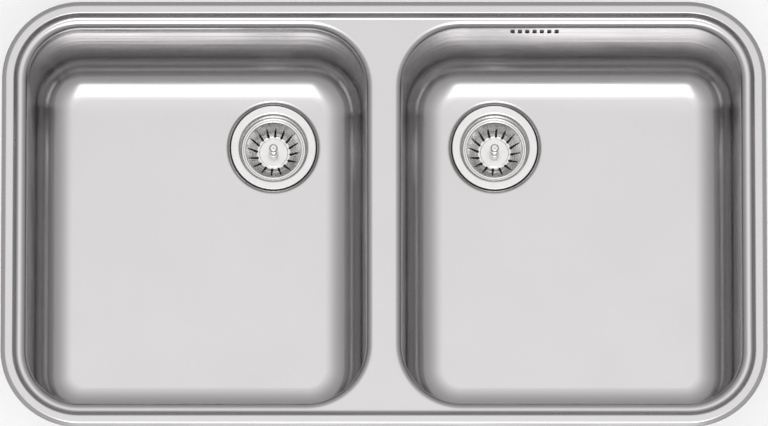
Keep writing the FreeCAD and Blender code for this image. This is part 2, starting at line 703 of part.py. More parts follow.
def overflow_nuts():
    near = BOX_SEAL + EAR_THICKNESS
    corner = STUD_NUT_ACROSS / 2 / math.cos(math.radians(30))
    nuts = []
    for x in (-stud_x(), stud_x()):
        turns = [math.radians(60 * i) for i in range(7)]
        points = [Vec(x + corner * math.cos(a), near, corner * math.sin(a) - BOX_HEIGHT / 2) for a in turns]
        prism = Part.Face(Part.makePolygon(points)).extrude(Vec(0, STUD_NUT_HEIGHT, 0))
        nuts.append(on_wall(prism.cut(along_y(STUD_RADIUS, near, near + STUD_NUT_HEIGHT, x, -BOX_HEIGHT / 2))))
    return nuts


def pipe_top():
    return wall_placement().multVec(Vec(0, PIPE_OFFSET, -BOX_HEIGHT - HOPPER_HEIGHT))


def pipe_corner():
    """Where the pipe's run down the wall would meet the level of the waste body's inlet."""
    top = pipe_top()
    down = wall_placement().Rotation.multVec(Vec(0, 0, -1))
    return top + down * ((FLOOR_Z - SPIGOT_DEPTH - top.z) / down.z)


def inlet_start():
    drain = drain_centre(1)
    return Vec(drain.x, drain.y, FLOOR_Z - SPIGOT_DEPTH)


def inlet_direction():
    return (pipe_corner() - inlet_start()).normalize()


def overflow_pipe():
    start, corner = pipe_top(), pipe_corner()
    end = inlet_start() + inlet_direction() * (SPIGOT_REACH - PIPE_ENGAGE)
    up, along = (start - corner).normalize(), (end - corner).normalize()
    half_turn = (math.pi - up.getAngle(along)) / 2
    between = (up + along).normalize()
    first, last = corner + up * PIPE_BEND * math.tan(half_turn), corner + along * PIPE_BEND * math.tan(half_turn)
    middle = corner + between * PIPE_BEND * (1 / math.cos(half_turn) - 1)
    path = Part.Wire([Part.makeLine(start, first), Part.Arc(first, middle, last).toShape(), Part.makeLine(last, end)])
    tubes = []
    for radius in (PIPE_RADIUS, PIPE_RADIUS - PIPE_WALL):
        circle = Part.Wire(Part.makeCircle(radius, start, up))
        tubes.append(path.makePipeShell([circle], True, False))
    return tubes[0].cut(tubes[1])


def along_inlet(outer, inner, near, far):
    """Ring round the inlet's axis, between two distances from the middle of the drain."""
    at, out = inlet_start() + inlet_direction() * near, inlet_direction()
    return Part.makeCylinder(outer, far - near, at, out).cut(Part.makeCylinder(inner, far - near, at, out))


def pipe_seal():
    return along_inlet(SPIGOT_RADIUS, PIPE_RADIUS, SPIGOT_REACH, SPIGOT_REACH + PIPE_SEAL)


def pipe_nut():
    near, shoulder = SPIGOT_REACH - PIPE_NUT_GRIP, SPIGOT_REACH + PIPE_SEAL
    outer = SPIGOT_RADIUS + PIPE_NUT_WALL
    nut = along_inlet(outer, SPIGOT_RADIUS, near, shoulder)
    nut = nut.fuse(along_inlet(outer, PIPE_RADIUS + PIPE_FIT, shoulder, shoulder + PIPE_NUT_WALL))
    out = inlet_direction()
    side = out.cross(UP)
    ribs = []
    for i in range(PIPE_NUT_RIBS):
        angle = 2 * math.pi * i / PIPE_NUT_RIBS
        away = side * math.cos(angle) + UP * math.sin(angle)
        at = inlet_start() + out * near + away * outer
        ribs.append(Part.makeCylinder(PIPE_NUT_RIB, PIPE_NUT_GRIP, at, out))
    inside = Part.makeCylinder(SPIGOT_RADIUS, PIPE_NUT_GRIP, inlet_start() + out * near, out)
    return nut.multiFuse(ribs).cut(inside).removeSplitter()


# ---- worktop clips ---------------------------------------------------------------------------
TAB_LOW_Z = -BRACKET_TOP - BRACKET_HEIGHT
ARM_Z = TAB_LOW_Z - CLAW_DROP


def clip_y():
    return wall_back(TAB_LOW_Z + BRACKET_TAB) + CLIP_SCREW_FROM_WALL


def long_side(shape, rear):
    """A shape made for the rear wall, or turned about the middle of the sink for the front one."""
    turned = shape.copy()
    turned.rotate(Vec(0, 0, 0), UP, 0 if rear else 180)
    return turned


def wall_tab(x, top, height, sheet, tab, reach_y, width, corner):
    """Angle welded to the rear wall: its back follows the wall, and its foot stands out level, with round corners."""
    low = top - height
    profile = [Vec(x, wall_back(top), top), Vec(x, wall_back(low), low), Vec(x, reach_y, low),
               Vec(x, reach_y, low + tab), Vec(x, wall_back(low + tab) + sheet, low + tab),
               Vec(x, wall_back(top) + sheet, top)]
    face = Part.Face(Part.makePolygon([*profile, profile[0]]))
    angle = face.extrude(Vec(width, 0, 0))
    ends = [e for e in angle.Edges if e.BoundBox.ZLength > tab / 2 and abs(e.CenterOfMass.y - reach_y) < tab / 2]
    return angle.makeFillet(corner, ends)


def clip_places():
    """Each clip's X on the rear wall, before turning, and whether it stays at the rear."""
    return [(x * side, rear) for rear in (True, False) for side in (-1, 1) for x in CLIP_X]


def clip_brackets():
    brackets = []
    for x, rear in clip_places():
        reach = clip_y() + BRACKET_TAB_OVER
        angle = wall_tab(x - BRACKET_WIDTH / 2, -BRACKET_TOP, BRACKET_HEIGHT, BRACKET_SHEET, BRACKET_TAB, reach,
                         BRACKET_WIDTH, BRACKET_CORNER)
        hole = Part.makeCylinder(CLIP_SCREW_RADIUS, BRACKET_TAB, Vec(x, clip_y(), TAB_LOW_Z))
        brackets.append(long_side(angle.cut(hole), rear))
    return brackets


def clip_screws():
    screws = []
    low = ARM_Z - CLAW_SHEET - CLAW_GAP
    high = TAB_LOW_Z + BRACKET_TAB + CLIP_SCREW_TIP
    for x, rear in clip_places():
        at = Vec(x, clip_y(), low)
        head = Part.makeCylinder(CLIP_SCREW_HEAD_RADIUS, CLIP_SCREW_HEAD, at - UP * CLIP_SCREW_HEAD)
        slot = Part.makeBox(2 * CLIP_SCREW_HEAD_RADIUS, CLIP_SCREW_SLOT, CLIP_SCREW_SLOT_DEPTH,
                            at - Vec(CLIP_SCREW_HEAD_RADIUS, CLIP_SCREW_SLOT / 2, CLIP_SCREW_HEAD))
        shank = Part.makeCylinder(CLIP_SCREW_RADIUS, high - low, at)
        screws.append(long_side(head.cut(slot).fuse(shank).removeSplitter(), rear))
    return screws


def claw(x, rear):
    """Steel strip that swings out below the worktop. At rest it lies along the wall, towards the sink's middle."""
    half = CLAW_WIDTH / 2
    section = Section(0, ARM_Z, 0, CLAW_SHEET).line(CLAW_REACH - CLAW_BEND).bend(CLAW_BEND - CLAW_SHEET, 90)
    section.line(CLAW_TIP - (CLAW_BEND - CLAW_SHEET))
    arm = section.face().extrude(Vec(0, CLAW_WIDTH, 0))
    arm.translate(Vec(0, -half, 0))
    low = ARM_Z - CLAW_SHEET
    arm = arm.fuse(Part.makeCylinder(half, CLAW_SHEET, Vec(0, 0, low)))
    notches = [Part.makeCylinder(CLIP_SCREW_RADIUS + CLAW_FIT, CLAW_SHEET, Vec(0, 0, low))]
    tip = ARM_Z + CLAW_TIP
    pitch = CLAW_WIDTH / CLAW_TEETH
    for i in range(CLAW_TEETH - 1):
        y = pitch * (i + 1) - half
        inner, outer = CLAW_REACH - 2 * CLAW_SHEET, CLAW_REACH + CLAW_SHEET
        corners = [(y - pitch / 3, tip), (y + pitch / 3, tip), (y, tip - CLAW_TOOTH), (y - pitch / 3, tip)]
        notch = Part.Face(Part.makePolygon([Vec(inner, a, b) for a, b in corners]))
        notches.append(notch.extrude(Vec(outer - inner, 0, 0)))
    arm = arm.cut(Part.makeCompound(notches)).removeSplitter()
    arm.Placement = place(x, clip_y(), 0, 180 if x > 0 else 0)
    return long_side(arm, rear)


def earth_tag():
    low = -TAG_TOP - TAG_HEIGHT
    reach = wall_back(low) + TAG_REACH
    angle = wall_tab(TAG_X - TAG_WIDTH / 2, -TAG_TOP, TAG_HEIGHT, TAG_SHEET, TAG_SHEET, reach, TAG_WIDTH, TAG_CORNER)
    hole = Part.makeCylinder(TAG_HOLE_RADIUS, TAG_SHEET, Vec(TAG_X, reach - TAG_WIDTH / 2, low))
    return angle.cut(hole)


# ---- seals and pads --------------------------------------------------------------------------
def rim_seal():
    """Foam strip between the worktop and the flat band of the rim."""
    inset = rim_slope_section().at[0] + RIM_SEAL_MARGIN
    inner = SINK.inset(inset + RIM_FLAT - 2 * RIM_SEAL_MARGIN)
    height = RIM_HEIGHT - SHEET
    return SINK.inset(inset).plate(height, height, [inner.wire(height)])


def pad(side):
    outline = bowl_outline(side)
    x, y = (outline.left + outline.right) / 2, (outline.front + outline.rear) / 2 - PAD_FORWARD
    shape = Outline(x - PAD_LENGTH / 2, x + PAD_LENGTH / 2, y - PAD_WIDTH / 2, y + PAD_WIDTH / 2, [PAD_CORNER] * 4)
    return shape.plate(FLOOR_Z - SHEET, PAD_THICKNESS)


# ---- writing the parts -----------------------------------------------------------------------
def all_parts():
    parts = {"deck_frame": deck_frame(), "rim_seal": rim_seal()}
    for side, name in ((-1, "left"), (1, "right")):
        centre = drain_centre(side)
        parts[name + "_bowl"] = bowl(side)
        parts[name + "_pad"] = pad(side)
        parts[name + "_cup"] = strainer_cup(centre)
        parts[name + "_flange_seal"] = flange_seal(centre)
        parts[name + "_body_seal"] = body_seal(centre)
        parts[name + "_waste"] = waste_body(centre, side > 0)
        parts[name + "_screw"] = centre_screw(centre)
        parts[name + "_basket"] = basket(centre)
        parts[name + "_knob"] = basket_knob(centre)
        parts[name + "_plug"] = basket_plug(centre)
        parts[name + "_retainer"] = basket_retainer(centre)
    parts["overflow_box"] = overflow_box()
    parts["overflow_gasket"] = overflow_gasket()
    parts["overflow_studs"] = Part.makeCompound(overflow_studs())
    parts["overflow_nuts"] = Part.makeCompound(overflow_nuts())
    parts["overflow_pipe"] = overflow_pipe()
    parts["pipe_seal"] = pipe_seal()
    parts["pipe_nut"] = pipe_nut()
    parts["clip_brackets"] = Part.makeCompound(clip_brackets())
    parts["clip_screws"] = Part.makeCompound(clip_screws())
    for number, (x, rear) in enumerate(clip_places(), 1):
        parts[f"claw_{number}"] = claw(x, rear)
    parts["earth_tag"] = earth_tag()
    return parts


os.makedirs("parts", exist_ok=True)
for node, shape in all_parts().items():
    shape.exportStep(f"parts/{node}.step")
    print(node, len(shape.Solids), "solid", shape.isValid(), round(shape.Volume, 1))
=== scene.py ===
"""Looks of a double bowl kitchen sink in pressed stainless steel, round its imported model.

Laid out as an add-on: property groups hold the sizes and colours, one operator makes each group of
pieces, and a panel lists them. Run as a script it makes everything once. Lengths are metres here,
and the places come from the frame's own boxes.
"""
import json
import math

import bpy
import numpy as np
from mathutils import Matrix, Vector


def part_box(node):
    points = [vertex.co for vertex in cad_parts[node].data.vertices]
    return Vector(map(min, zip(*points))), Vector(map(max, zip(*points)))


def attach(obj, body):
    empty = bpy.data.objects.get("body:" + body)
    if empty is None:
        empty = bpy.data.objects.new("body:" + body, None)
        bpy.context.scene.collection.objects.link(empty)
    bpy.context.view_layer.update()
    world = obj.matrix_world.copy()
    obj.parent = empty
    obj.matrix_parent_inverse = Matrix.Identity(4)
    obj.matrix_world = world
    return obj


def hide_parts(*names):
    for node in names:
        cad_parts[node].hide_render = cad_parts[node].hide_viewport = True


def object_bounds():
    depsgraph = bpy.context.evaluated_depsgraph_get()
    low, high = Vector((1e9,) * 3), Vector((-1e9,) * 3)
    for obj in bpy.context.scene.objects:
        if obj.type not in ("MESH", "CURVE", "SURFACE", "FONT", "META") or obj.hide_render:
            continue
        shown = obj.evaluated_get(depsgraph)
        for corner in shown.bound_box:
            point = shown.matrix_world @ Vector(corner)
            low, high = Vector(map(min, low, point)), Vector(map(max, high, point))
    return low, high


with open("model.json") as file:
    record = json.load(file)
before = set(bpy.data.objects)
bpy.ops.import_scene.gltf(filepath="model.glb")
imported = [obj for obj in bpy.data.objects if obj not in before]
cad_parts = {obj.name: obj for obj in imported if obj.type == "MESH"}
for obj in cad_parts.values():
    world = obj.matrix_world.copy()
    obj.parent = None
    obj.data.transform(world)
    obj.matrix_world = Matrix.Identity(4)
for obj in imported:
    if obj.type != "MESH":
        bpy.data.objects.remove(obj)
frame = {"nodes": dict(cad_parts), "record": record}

bl_info = {
    "name": "Double bowl kitchen sink",
    "version": (1, 0, 0),
    "blender": (4, 5, 0),
    "location": "View3D > Sidebar > Sink",
    "description": "Pressed steel sink with basket strainers, wastes, overflow and worktop clips",
    "category": "Add Mesh",
}

CAD_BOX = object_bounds()
MM = 0.001
SIDES = (("left", -1), ("right", 1))
GUARD = 0.6 * MM        # support points this near the ends of a straight keep its shading flat
GUARD_SHARE = 0.3       # the most of a short straight that a guard takes
ARC_STEP = 7.5          # degrees between the points of a bend
CORNER_STEP = 5.625     # degrees between the points of an outline's corner
SHARP_EDGE = 40         # degrees, edges sharper than this are shaded as edges
PLACE_DIGITS = 7        # points that agree to this many decimals of a metre are one point
TINY = 1e-9             # metres, less than any size here and more than a rounding error
QUARTER = math.pi / 2


# ---- properties ------------------------------------------------------------------------------
def length(name, description, default):
    return bpy.props.FloatProperty(name=name, description=description, default=default, unit="LENGTH")


def angle(name, description, default):
    return bpy.props.FloatProperty(name=name, description=description, default=math.radians(default),
                                   subtype="ANGLE", unit="ROTATION")


def amount(name, description, default):
    return bpy.props.FloatProperty(name=name, description=description, default=default)


def number(name, description, default):
    return bpy.props.IntProperty(name=name, description=description, default=default)


def colour(name, description, default):
    return bpy.props.StringProperty(name=name, description=description, default=default)


class SheetSizes(bpy.types.PropertyGroup):
    """Pressed sheet: its rim, rolled edges, bowls and drain recess."""

    sheet: length("Sheet", "Thickness of the steel", 1.0 * MM)
    corner: length("Corner radius", "Outside corners of the rim", 80 * MM)
    lip: length("Lip", "Upright edge of the rim", 0.5 * MM)
    edge_bend: length("Edge bend", "Radius at the top of the lip", 1.3 * MM)
    slope: angle("Slope", "Tilt of the outer band", 25)
    crown_bend: length("Crown bend", "Radius between the sloping and the flat band", 3.0 * MM)
    rim_flat: length("Flat band", "Width of the flat band on the rim", 5.985 * MM)
    step_top: length("Step top bend", "Radius at the top of the step", 2.0 * MM)
    step_foot: length("Step foot bend", "Radius at the foot of the step", 4.0 * MM)
    step_tilt: angle("Step tilt", "Tilt of the step down to the deck", 60)
    deck_drop: length("Deck drop", "Rim top down to the deck", 6.0 * MM)
    ledge: length("Ledge", "Flat deck between the step and a bowl", 1.0 * MM)
    divider: length("Divider", "Flat deck between the bowls", 22 * MM)
    divider_corner: length("Divider corner", "Corner radius of a bowl beside the divider", 68 * MM)
    roll: length("Roll", "Radius of the rolled edge of a bowl", 7.0 * MM)
    collar: length("Collar", "Straight below the roll, down to the weld", 1.5 * MM)
    draft: angle("Draft", "Lean of the walls", 2.1)
    floor_bend: length("Floor bend", "Radius between wall and floor", 37.9 * MM)
    weld: length("Weld", "Width of the ground weld round a bowl", 0.9 * MM)
    weld_rise: length("Weld rise", "How far the weld stands off the wall", 0.06 * MM)
    recess: length("Recess", "Radius where the drain recess's side would meet the floor", 47.5 * MM)
    recess_depth: length("Recess depth", "Floor down to the strainer's seat", 3.5 * MM)
    recess_brow: length("Recess brow", "Radius at the top of the recess's side", 4.5 * MM)
    recess_foot: length("Recess foot", "Radius at the foot of the recess's side", 0.8 * MM)
    recess_tilt: angle("Recess tilt", "Tilt of the recess's side", 45)
    drain_hole: length("Drain hole", "Radius of the hole in the seat", 36 * MM)


class SlotSizes(bpy.types.PropertyGroup):
    """Row of overflow slots in the rear wall of the right bowl."""

    count: number("Slots", "Number of slots", 7)
    pitch: length("Pitch", "Slot to slot", 7.5 * MM)
    width: length("Width", "Width of a slot", 4.4 * MM)
    height: length("Height", "Length of a slot down the wall", 17 * MM)
    top: length("Top", "Deck down to the top of the slots", 10.8 * MM)
    margin: length("Margin", "Wall above and below the slots in their patch", 1.0 * MM)


class StrainerSizes(bpy.types.PropertyGroup):
    """Strainer cup, its lift-out basket and the pull knob."""

    sheet: length("Sheet", "Thickness of the cup", 1.0 * MM)
    flange: length("Flange", "Radius of the cup's flange", 44 * MM)
    flange_flat: length("Flange width", "Flat band of the flange", 7.0 * MM)
    flange_edge: length("Flange edge", "Radius of the flange's outer edge", 0.6 * MM)
    throat_bend: length("Throat bend", "Radius at the mouth of the cup", 3.0 * MM)
    throat_draft: angle("Throat draft", "Lean of the throat", 3)
    throat_depth: length("Throat depth", "Flange top to the ledge", 13.7 * MM)
    cone_top: length("Cone top", "Radius where the ledge meets the cone", 29.63 * MM)
    ledge_bend: length("Ledge bend", "Radius behind the ledge", 1.2 * MM)
    shoulder: length("Shoulder", "Radius in front of the ledge", 1.5 * MM)
    cone: angle("Cone", "Slope of the cup's cone", 68)
    depth: length("Depth", "Flange top to the cup's floor", 44.5 * MM)
    foot_bend: length("Foot bend", "Radius at the foot of the cone", 3.0 * MM)
    screw_hole: length("Screw hole", "Radius of the hole for the centre screw", 3.3 * MM)
    outlet: length("Outlet", "Radius of each outlet in the cup's floor", 4.0 * MM)
    outlet_circle: length("Outlet circle", "Radius that the outlets stand on", 10.4 * MM)
    outlets: number("Outlets", "Number of outlets in the cup", 6)
    basket_sheet: length("Basket sheet", "Thickness of the basket", 0.6 * MM)
    basket_rim: length("Basket rim", "Radius of the basket's rim", 31.2 * MM)
    basket_lip: length("Basket lip", "Flat of the basket's rim", 0.8 * MM)
    basket_edge: length("Basket edge", "Radius of the basket's rolled rim", 0.8 * MM)
    basket_bend: length("Basket bend", "Radius below the basket's rim", 1.4 * MM)
    basket_slope: angle("Basket slope", "Slope of the slotted side", 60)
    basket_depth: length("Basket depth", "Rim to the basket's floor", 19 * MM)
    basket_foot: length("Basket foot", "Radius at the foot of the side", 2.0 * MM)
    disc: length("Disc", "Radius of the raised disc", 15.2 * MM)
    disc_bend: length("Disc bend", "Radius of both bends of the step up to the disc", 0.8 * MM)
    slots: number("Slots", "Number of slots in the basket", 16)
    slot_circle: length("Slot circle", "Where the slots start", 17.4 * MM)
    slot_reach: length("Slot reach", "Where the slots end", 27 * MM)
    slot_hole: length("Slot hole", "Radius of the inner end of a slot", 1.3 * MM)
    slot_half: length("Slot half width", "Half the width at the outer end of a slot", 0.5 * MM)
    slot_turn: angle("Slot turn", "Where the first slot stands", 17.4)
    knob_neck: length("Knob neck", "Radius of the knob's stem", 3.1 * MM)
    knob_height: length("Knob height", "Disc to the top of the knob", 29 * MM)
    knob_head: length("Knob head", "Height of the knob's head", 8.0 * MM)
    knob_foot: length("Knob foot", "Radius of the stem's foot", 5.0 * MM)
    knob_soft: length("Knob softness", "Radius of the edges of the pin and the stem's foot", 0.5 * MM)
    knob_step: length("Knob step", "Flat on top of the stem's foot", 0.2 * MM)
    knob_flare: angle("Knob flare", "Lean of the neck where it widens into the head", 50)
    knob_shoulder: length("Knob shoulder", "Radius at the top of the neck", 1.6 * MM)
    knob_chin: length("Knob chin", "Radius under the head", 1.4 * MM)
    knob_flank: length("Knob flank", "Straight between the shoulder and the chin", 0.4 * MM)
    knob_crown: length("Knob crown", "Radius at the head's upper edge", 1.8 * MM)
    knob_dish: length("Knob dish", "Radius of the dimple on the head", 0.9 * MM)
    knob_dimple: length("Knob dimple", "Radius of the bends at the dimple's edge", 0.6 * MM)
    dimple_slope: angle("Dimple slope", "Slope of the dimple's side", 40)
    pin: length("Pin", "Radius of the pin below the basket", 2.2 * MM)


class WasteSizes(bpy.types.PropertyGroup):
    """Moulded waste body under each drain, and the overflow's inlet."""

    wall: length("Wall", "Thickness of the moulding", 2.5 * MM)
    soft: length("Soft edge", "Radius of moulded edges", 0.6 * MM)
    flange: length("Flange", "Radius of the flange under the bowl", 46 * MM)
    flange_thick: length("Flange thickness", "Thickness of the flange", 4 * MM)
    gussets: number("Gussets", "Number of gussets under the flange", 12)
    gusset: length("Gusset", "Height of each gusset", 9 * MM)
    mouth: length("Mouth", "Inside radius under the flange", 36.5 * MM)
    straight: length("Straight", "Depth of the straight mouth", 14 * MM)
    waist: length("Waist", "Inside radius of the waist", 27.5 * MM)
    waist_drop: length("Waist drop", "Flange top to the waist", 41.5 * MM)
    waist_run: length("Waist run", "Height of the waist", 18 * MM)
    neck_drop: length("Neck drop", "Waist to the outlet's bore", 8 * MM)
    bore: length("Bore", "Inside radius of the outlet", 19.5 * MM)
    thread: length("Thread", "Outside radius of the outlet's G 1 1/2 thread", 23.9 * MM)
    thread_depth: length("Thread depth", "Depth of the thread", 1.48 * MM)
    thread_pitch: length("Thread pitch", "Crest to crest", 2.309 * MM)
    thread_length: length("Thread length", "Length of the thread", 20 * MM)
    thread_rows: number("Thread rows", "Points up the thread", 88)
    collar: length("Collar", "Neck above the thread, beyond its root", 0.24 * MM)
    chamfer: length("Chamfer", "Lead-in of the outlet", 1.0 * MM)
    boss: length("Boss", "Radius of the boss for the centre screw", 7 * MM)
    boss_length: length("Boss length", "Height of the boss and its ribs", 14 * MM)
    screw: length("Screw hole", "Radius of the hole in the boss", 3 * MM)
    rib: length("Rib", "Thickness of the boss's ribs", 3 * MM)
    stopper_lip: length("Stopper lip", "Width of the stopper's thinning edge", 3 * MM)
    stopper_soft: length("Stopper softness", "Radius of the stopper's edges", 0.5 * MM)
    spigot: length("Spigot", "Outside radius of the overflow's inlet", 12.4 * MM)
    spigot_bore: length("Spigot bore", "Inside radius of the inlet", 10.2 * MM)
    seal: length("Pipe seal", "Thickness of the seal under the pipe's nut", 2 * MM)


class FinishColours(bpy.types.PropertyGroup):
    """Colours of the finishes, as sRGB hex."""

    steel: colour("Satin steel", "Brushed stainless steel sheet", "#CFCDCE")
    bright: colour("Polished steel", "Strainer parts", "#E0DFDE")
    zinc: colour("Zinc plate", "Clips and nuts", "#B9BDC2")
    plastic: colour("Waste plastic", "Moulded polypropylene", "#D8D7D2")
    nut: colour("Nut plastic", "Union nut", "#55585B")
    rubber: colour("Rubber", "Seals and stoppers", "#1E1E1F")
    foam: colour("Foam", "Strip under the rim", "#3A3B3D")
    pad: colour("Pad", "Bitumen sound pad", "#3F4043")
    floor: colour("Floor", "Studio floor", "#F4F4F4")


class StudioLight(bpy.types.PropertyGroup):
    """Light of the studio: a room that glows overhead, a bright panel towards the front, soft lamps."""

    room: amount("Room", "Radiance of the room at its sides", 0.30)
    glow: amount("Glow", "Radiance overhead, on top of the room's", 1.22)
    glow_fall: angle("Glow fall", "Turn from the upright over which the glow falls to 1 / e", 28)
    panel: amount("Panel", "Radiance of the panel, on top of the rest", 2.0)
    panel_half: angle("Panel half width", "Half the panel's width, seen from the object", 10)
    panel_near: angle("Panel near edge", "Tilt of the panel's nearer edge towards the front", 5)
    panel_far: angle("Panel far edge", "Tilt of the panel's farther edge towards the front", 38)
    panel_soft: angle("Panel softness", "Half the width of the panel's soft edge", 4)
    lamp: amount("Lamp", "Irradiance of the soft lamps on matt surfaces", 0.9)
    floor_glow: amount("Floor glow", "Light the floor gives off to the camera and to mirrors", 0.2)


# ---- profiles and outlines -------------------------------------------------------------------
def direction(turn):
    """Unit vectors (cos turn, sin turn) for an array of turns in radians."""
    return np.stack([np.cos(turn), np.sin(turn)], axis=-1)


class Profile:
    """Line of bent sheet in the plane of inset and height, sampled as it is drawn.

    A straight is start + t * heading, with support points near its ends. A bend turns about a centre
    at its radius to the left (positive turn) or right of the heading.
    """

    def __init__(self, inset, height, heading):
        self.points = [np.array([[inset, height]])]
        self.heading = heading

    @property
    def at(self):
        return self.points[-1][-1]

    def line(self, run, stations=()):
        guard = min(GUARD, run * GUARD_SHARE)
        reach = np.array(sorted({guard, *stations, run - guard, run}))
        self.points.append(self.at + reach[:, None] * direction(self.heading))
        return self

    def bend(self, radius, turn):
        side = math.copysign(radius, turn)
        steps = max(3, math.ceil(abs(math.degrees(turn)) / ARC_STEP))
        centre = self.at + side * direction(self.heading + math.pi / 2)
        headings = self.heading + turn * np.arange(1, steps + 1) / steps
        self.points.append(centre - side * direction(headings + math.pi / 2))
        self.heading += turn
        return self

    def reach(self, height):
        return self.line((height - self.at[1]) / math.sin(self.heading))

    def settle(self, height, radius, turn):
        """Straight, then a bend that ends level at a height."""
        return self.reach(height + bend_height(radius, turn)).bend(radius, turn)

    def in_to(self, inset):
        return self.line((inset - self.at[0]) / math.cos(self.heading))

    def sampled(self):
        return np.concatenate(self.points)


def bend_height(radius, turn):
    """Height that a bend between the level and an angle takes."""
    return radius * (1 - math.cos(turn))


def distances(line):
    """How far along a line each of its points is."""
    return np.concatenate([[0], np.cumsum(np.linalg.norm(np.diff(line, axis=0), axis=1))])


def circle(centre, radius, count):
    """Closed outline: centre + radius * e with outward direction e, its last point on its first."""
    out = direction(np.linspace(0, 2 * math.pi, count + 1))
    return centre + radius * out, out


def arc(centre, radius, first, last):
    """Corner of an outline, between two turns in degrees."""
    steps = math.ceil(abs(last - first) / CORNER_STEP)
    out = direction(np.radians(np.linspace(first, last, steps + 1)))
    return centre + radius * out, out


def straight(start, end, stations=()):
    """Side of an outline from start to end, which both belong to its corners: support points and stations."""
    start, end = np.array(start), np.array(end)
    run = np.linalg.norm(end - start)
    along = (end - start) / run
    reach = np.array(sorted({GUARD, *stations, run - GUARD}))
    reach = reach[(reach >= GUARD) & (reach <= run - GUARD)]
    return start + reach[:, None] * along, np.broadcast_to([along[1], -along[0]], (len(reach), 2))


def outline_of(*stretches):
    """Closed outline from its stretches, its last point on its first."""
    points = np.concatenate([p for p, _ in stretches] + [stretches[0][0][:1]])
    out = np.concatenate([o for _, o in stretches] + [stretches[0][1][:1]])
    return points, out


def carried(outline, profile):
    """Profile swept along an outline: P = Q - inset * e, at the profile's height."""
    points, out = outline
    flat = points[:, None, :] - profile[None, :, :1] * out[:, None, :]
    height = np.broadcast_to(profile[None, :, 1:], (*flat.shape[:2], 1))
    return np.concatenate([flat, height], axis=2)


def level(points, height):
    """Points of a plane curve put at a height."""
    return np.column_stack([points, np.full(len(points), height)])


def between(outer, inner, rows):
    """Straight lines between two curves: P = outer + t * (inner - outer).

    t is even but for a guard at each end.
    """
    across = inner - outer
    guard = np.minimum(GUARD / np.linalg.norm(across, axis=1, keepdims=True), GUARD_SHARE)
    even = guard + np.linspace(0, 1, rows) * (1 - 2 * guard)
    t = np.concatenate([np.zeros_like(guard), even, np.ones_like(guard)], axis=1)
    return outer[:, None, :] + t[:, :, None] * across[:, None, :]


def mirrored(grid):
    """The same patch on the other side of X = 0, its columns reversed so that it still faces up."""
    return grid[::-1] * np.array([-1.0, 1.0, 1.0])


# ---- meshes ----------------------------------------------------------------------------------
def stitched(patches):
    """One mesh from grids of points: a quad between each four neighbours, and points in one place made one.

    A patch is a grid, or a grid with a mask of the quads that stay. A triangle is a quad whose last
    corner is given twice.
    """
    points, quads, count = [], [], 0
    for patch in patches:
        grid, keep = patch if isinstance(patch, tuple) else (patch, None)
        rows, columns = grid.shape[:2]
        number = count + np.arange(rows * columns).reshape(rows, columns)
        quad = np.stack([number[:-1, :-1], number[1:, :-1], number[1:, 1:], number[:-1, 1:]], axis=-1)
        quads.append(quad.reshape(-1, 4) if keep is None else quad[keep])
        points.append(grid.reshape(-1, 3))
        count += rows * columns
    places, index = np.unique(np.round(np.concatenate(points), PLACE_DIGITS), axis=0, return_inverse=True)
    faces = index.reshape(-1)[np.concatenate(quads)]
    repeats = faces == np.roll(faces, 1, axis=1)
    triangles = faces[repeats.sum(axis=1) == 1]
    triangles = triangles[~repeats[repeats.sum(axis=1) == 1]].reshape(-1, 3)
    triangles = np.column_stack([triangles, triangles[:, 2]])
    faces = np.concatenate([faces[repeats.sum(axis=1) == 0], triangles])
    used, index = np.unique(faces, return_inverse=True)
    return places[used], index.reshape(faces.shape)


def point_normals(points, faces):
    """Sum of the areas of the faces round each point, made a unit: half the cross of a face's diagonals."""
    corners = points[faces]
    area = np.cross(corners[:, 2] - corners[:, 0], corners[:, 3] - corners[:, 1])
    total = np.zeros_like(points)
    for corner in range(4):
        np.add.at(total, faces[:, corner], area)
    return total / np.linalg.norm(total, axis=1, keepdims=True)


def thickened(mesh, thickness):
    """Closed sheet: a copy set back against the normals, and a strip from each open edge to its copy."""
    points, faces = mesh
    count = len(points)
    back = points - thickness * point_normals(points, faces)
    start, end = faces.reshape(-1), np.roll(faces, -1, axis=1).reshape(-1)
    start, end = start[start != end], end[start != end]
    alone = ~np.isin(start * count + end, end * count + start)
    strip = np.column_stack([end[alone], start[alone], start[alone] + count, end[alone] + count])
    return np.concatenate([points, back]), np.concatenate([faces, faces[:, ::-1] + count, strip])


def joined(*meshes):
    """Several closed meshes as one."""
    points, faces, count = [], [], 0
    for part_points, part_faces in meshes:
        points.append(part_points)
        faces.append(part_faces + count)
        count += len(part_points)
    return np.concatenate(points), np.concatenate(faces)


def add_piece(name, mesh_data, finish, body, slot, *replaced):
    """Makes the object, which rides on a body of the frame and stands for the CAD nodes it replaces."""
    points, faces = mesh_data
    used = faces != np.roll(faces, 1, axis=1)
    corners = [[i for i, keep in zip(face, kept) if keep]
               for face, kept in zip(faces.tolist(), used.tolist())]
    mesh = bpy.data.meshes.new(name)
    mesh.from_pydata(points.tolist(), [], corners)
    mesh.polygons.foreach_set("use_smooth", np.ones(len(corners), dtype=bool))
    mesh.set_sharp_from_angle(angle=math.radians(SHARP_EDGE))
    mesh.materials.append(bpy.data.materials[finish])
    piece = bpy.data.objects.new(name, mesh)
    bpy.context.scene.collection.objects.link(piece)
    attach(piece, body)
    if replaced:
        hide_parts(*replaced)
    return piece


def middle(node):
    """Centre of a CAD node's box in X and Y."""
    low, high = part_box(node)
    return np.array([(low[0] + high[0]) / 2, (low[1] + high[1]) / 2])


# ---- the pressed top -------------------------------------------------------------------------
DECK_LOW, DECK_HIGH = (np.array(corner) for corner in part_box("deck_frame"))
PLATE_ROWS = 5      # stations across a flat plate, between its guards


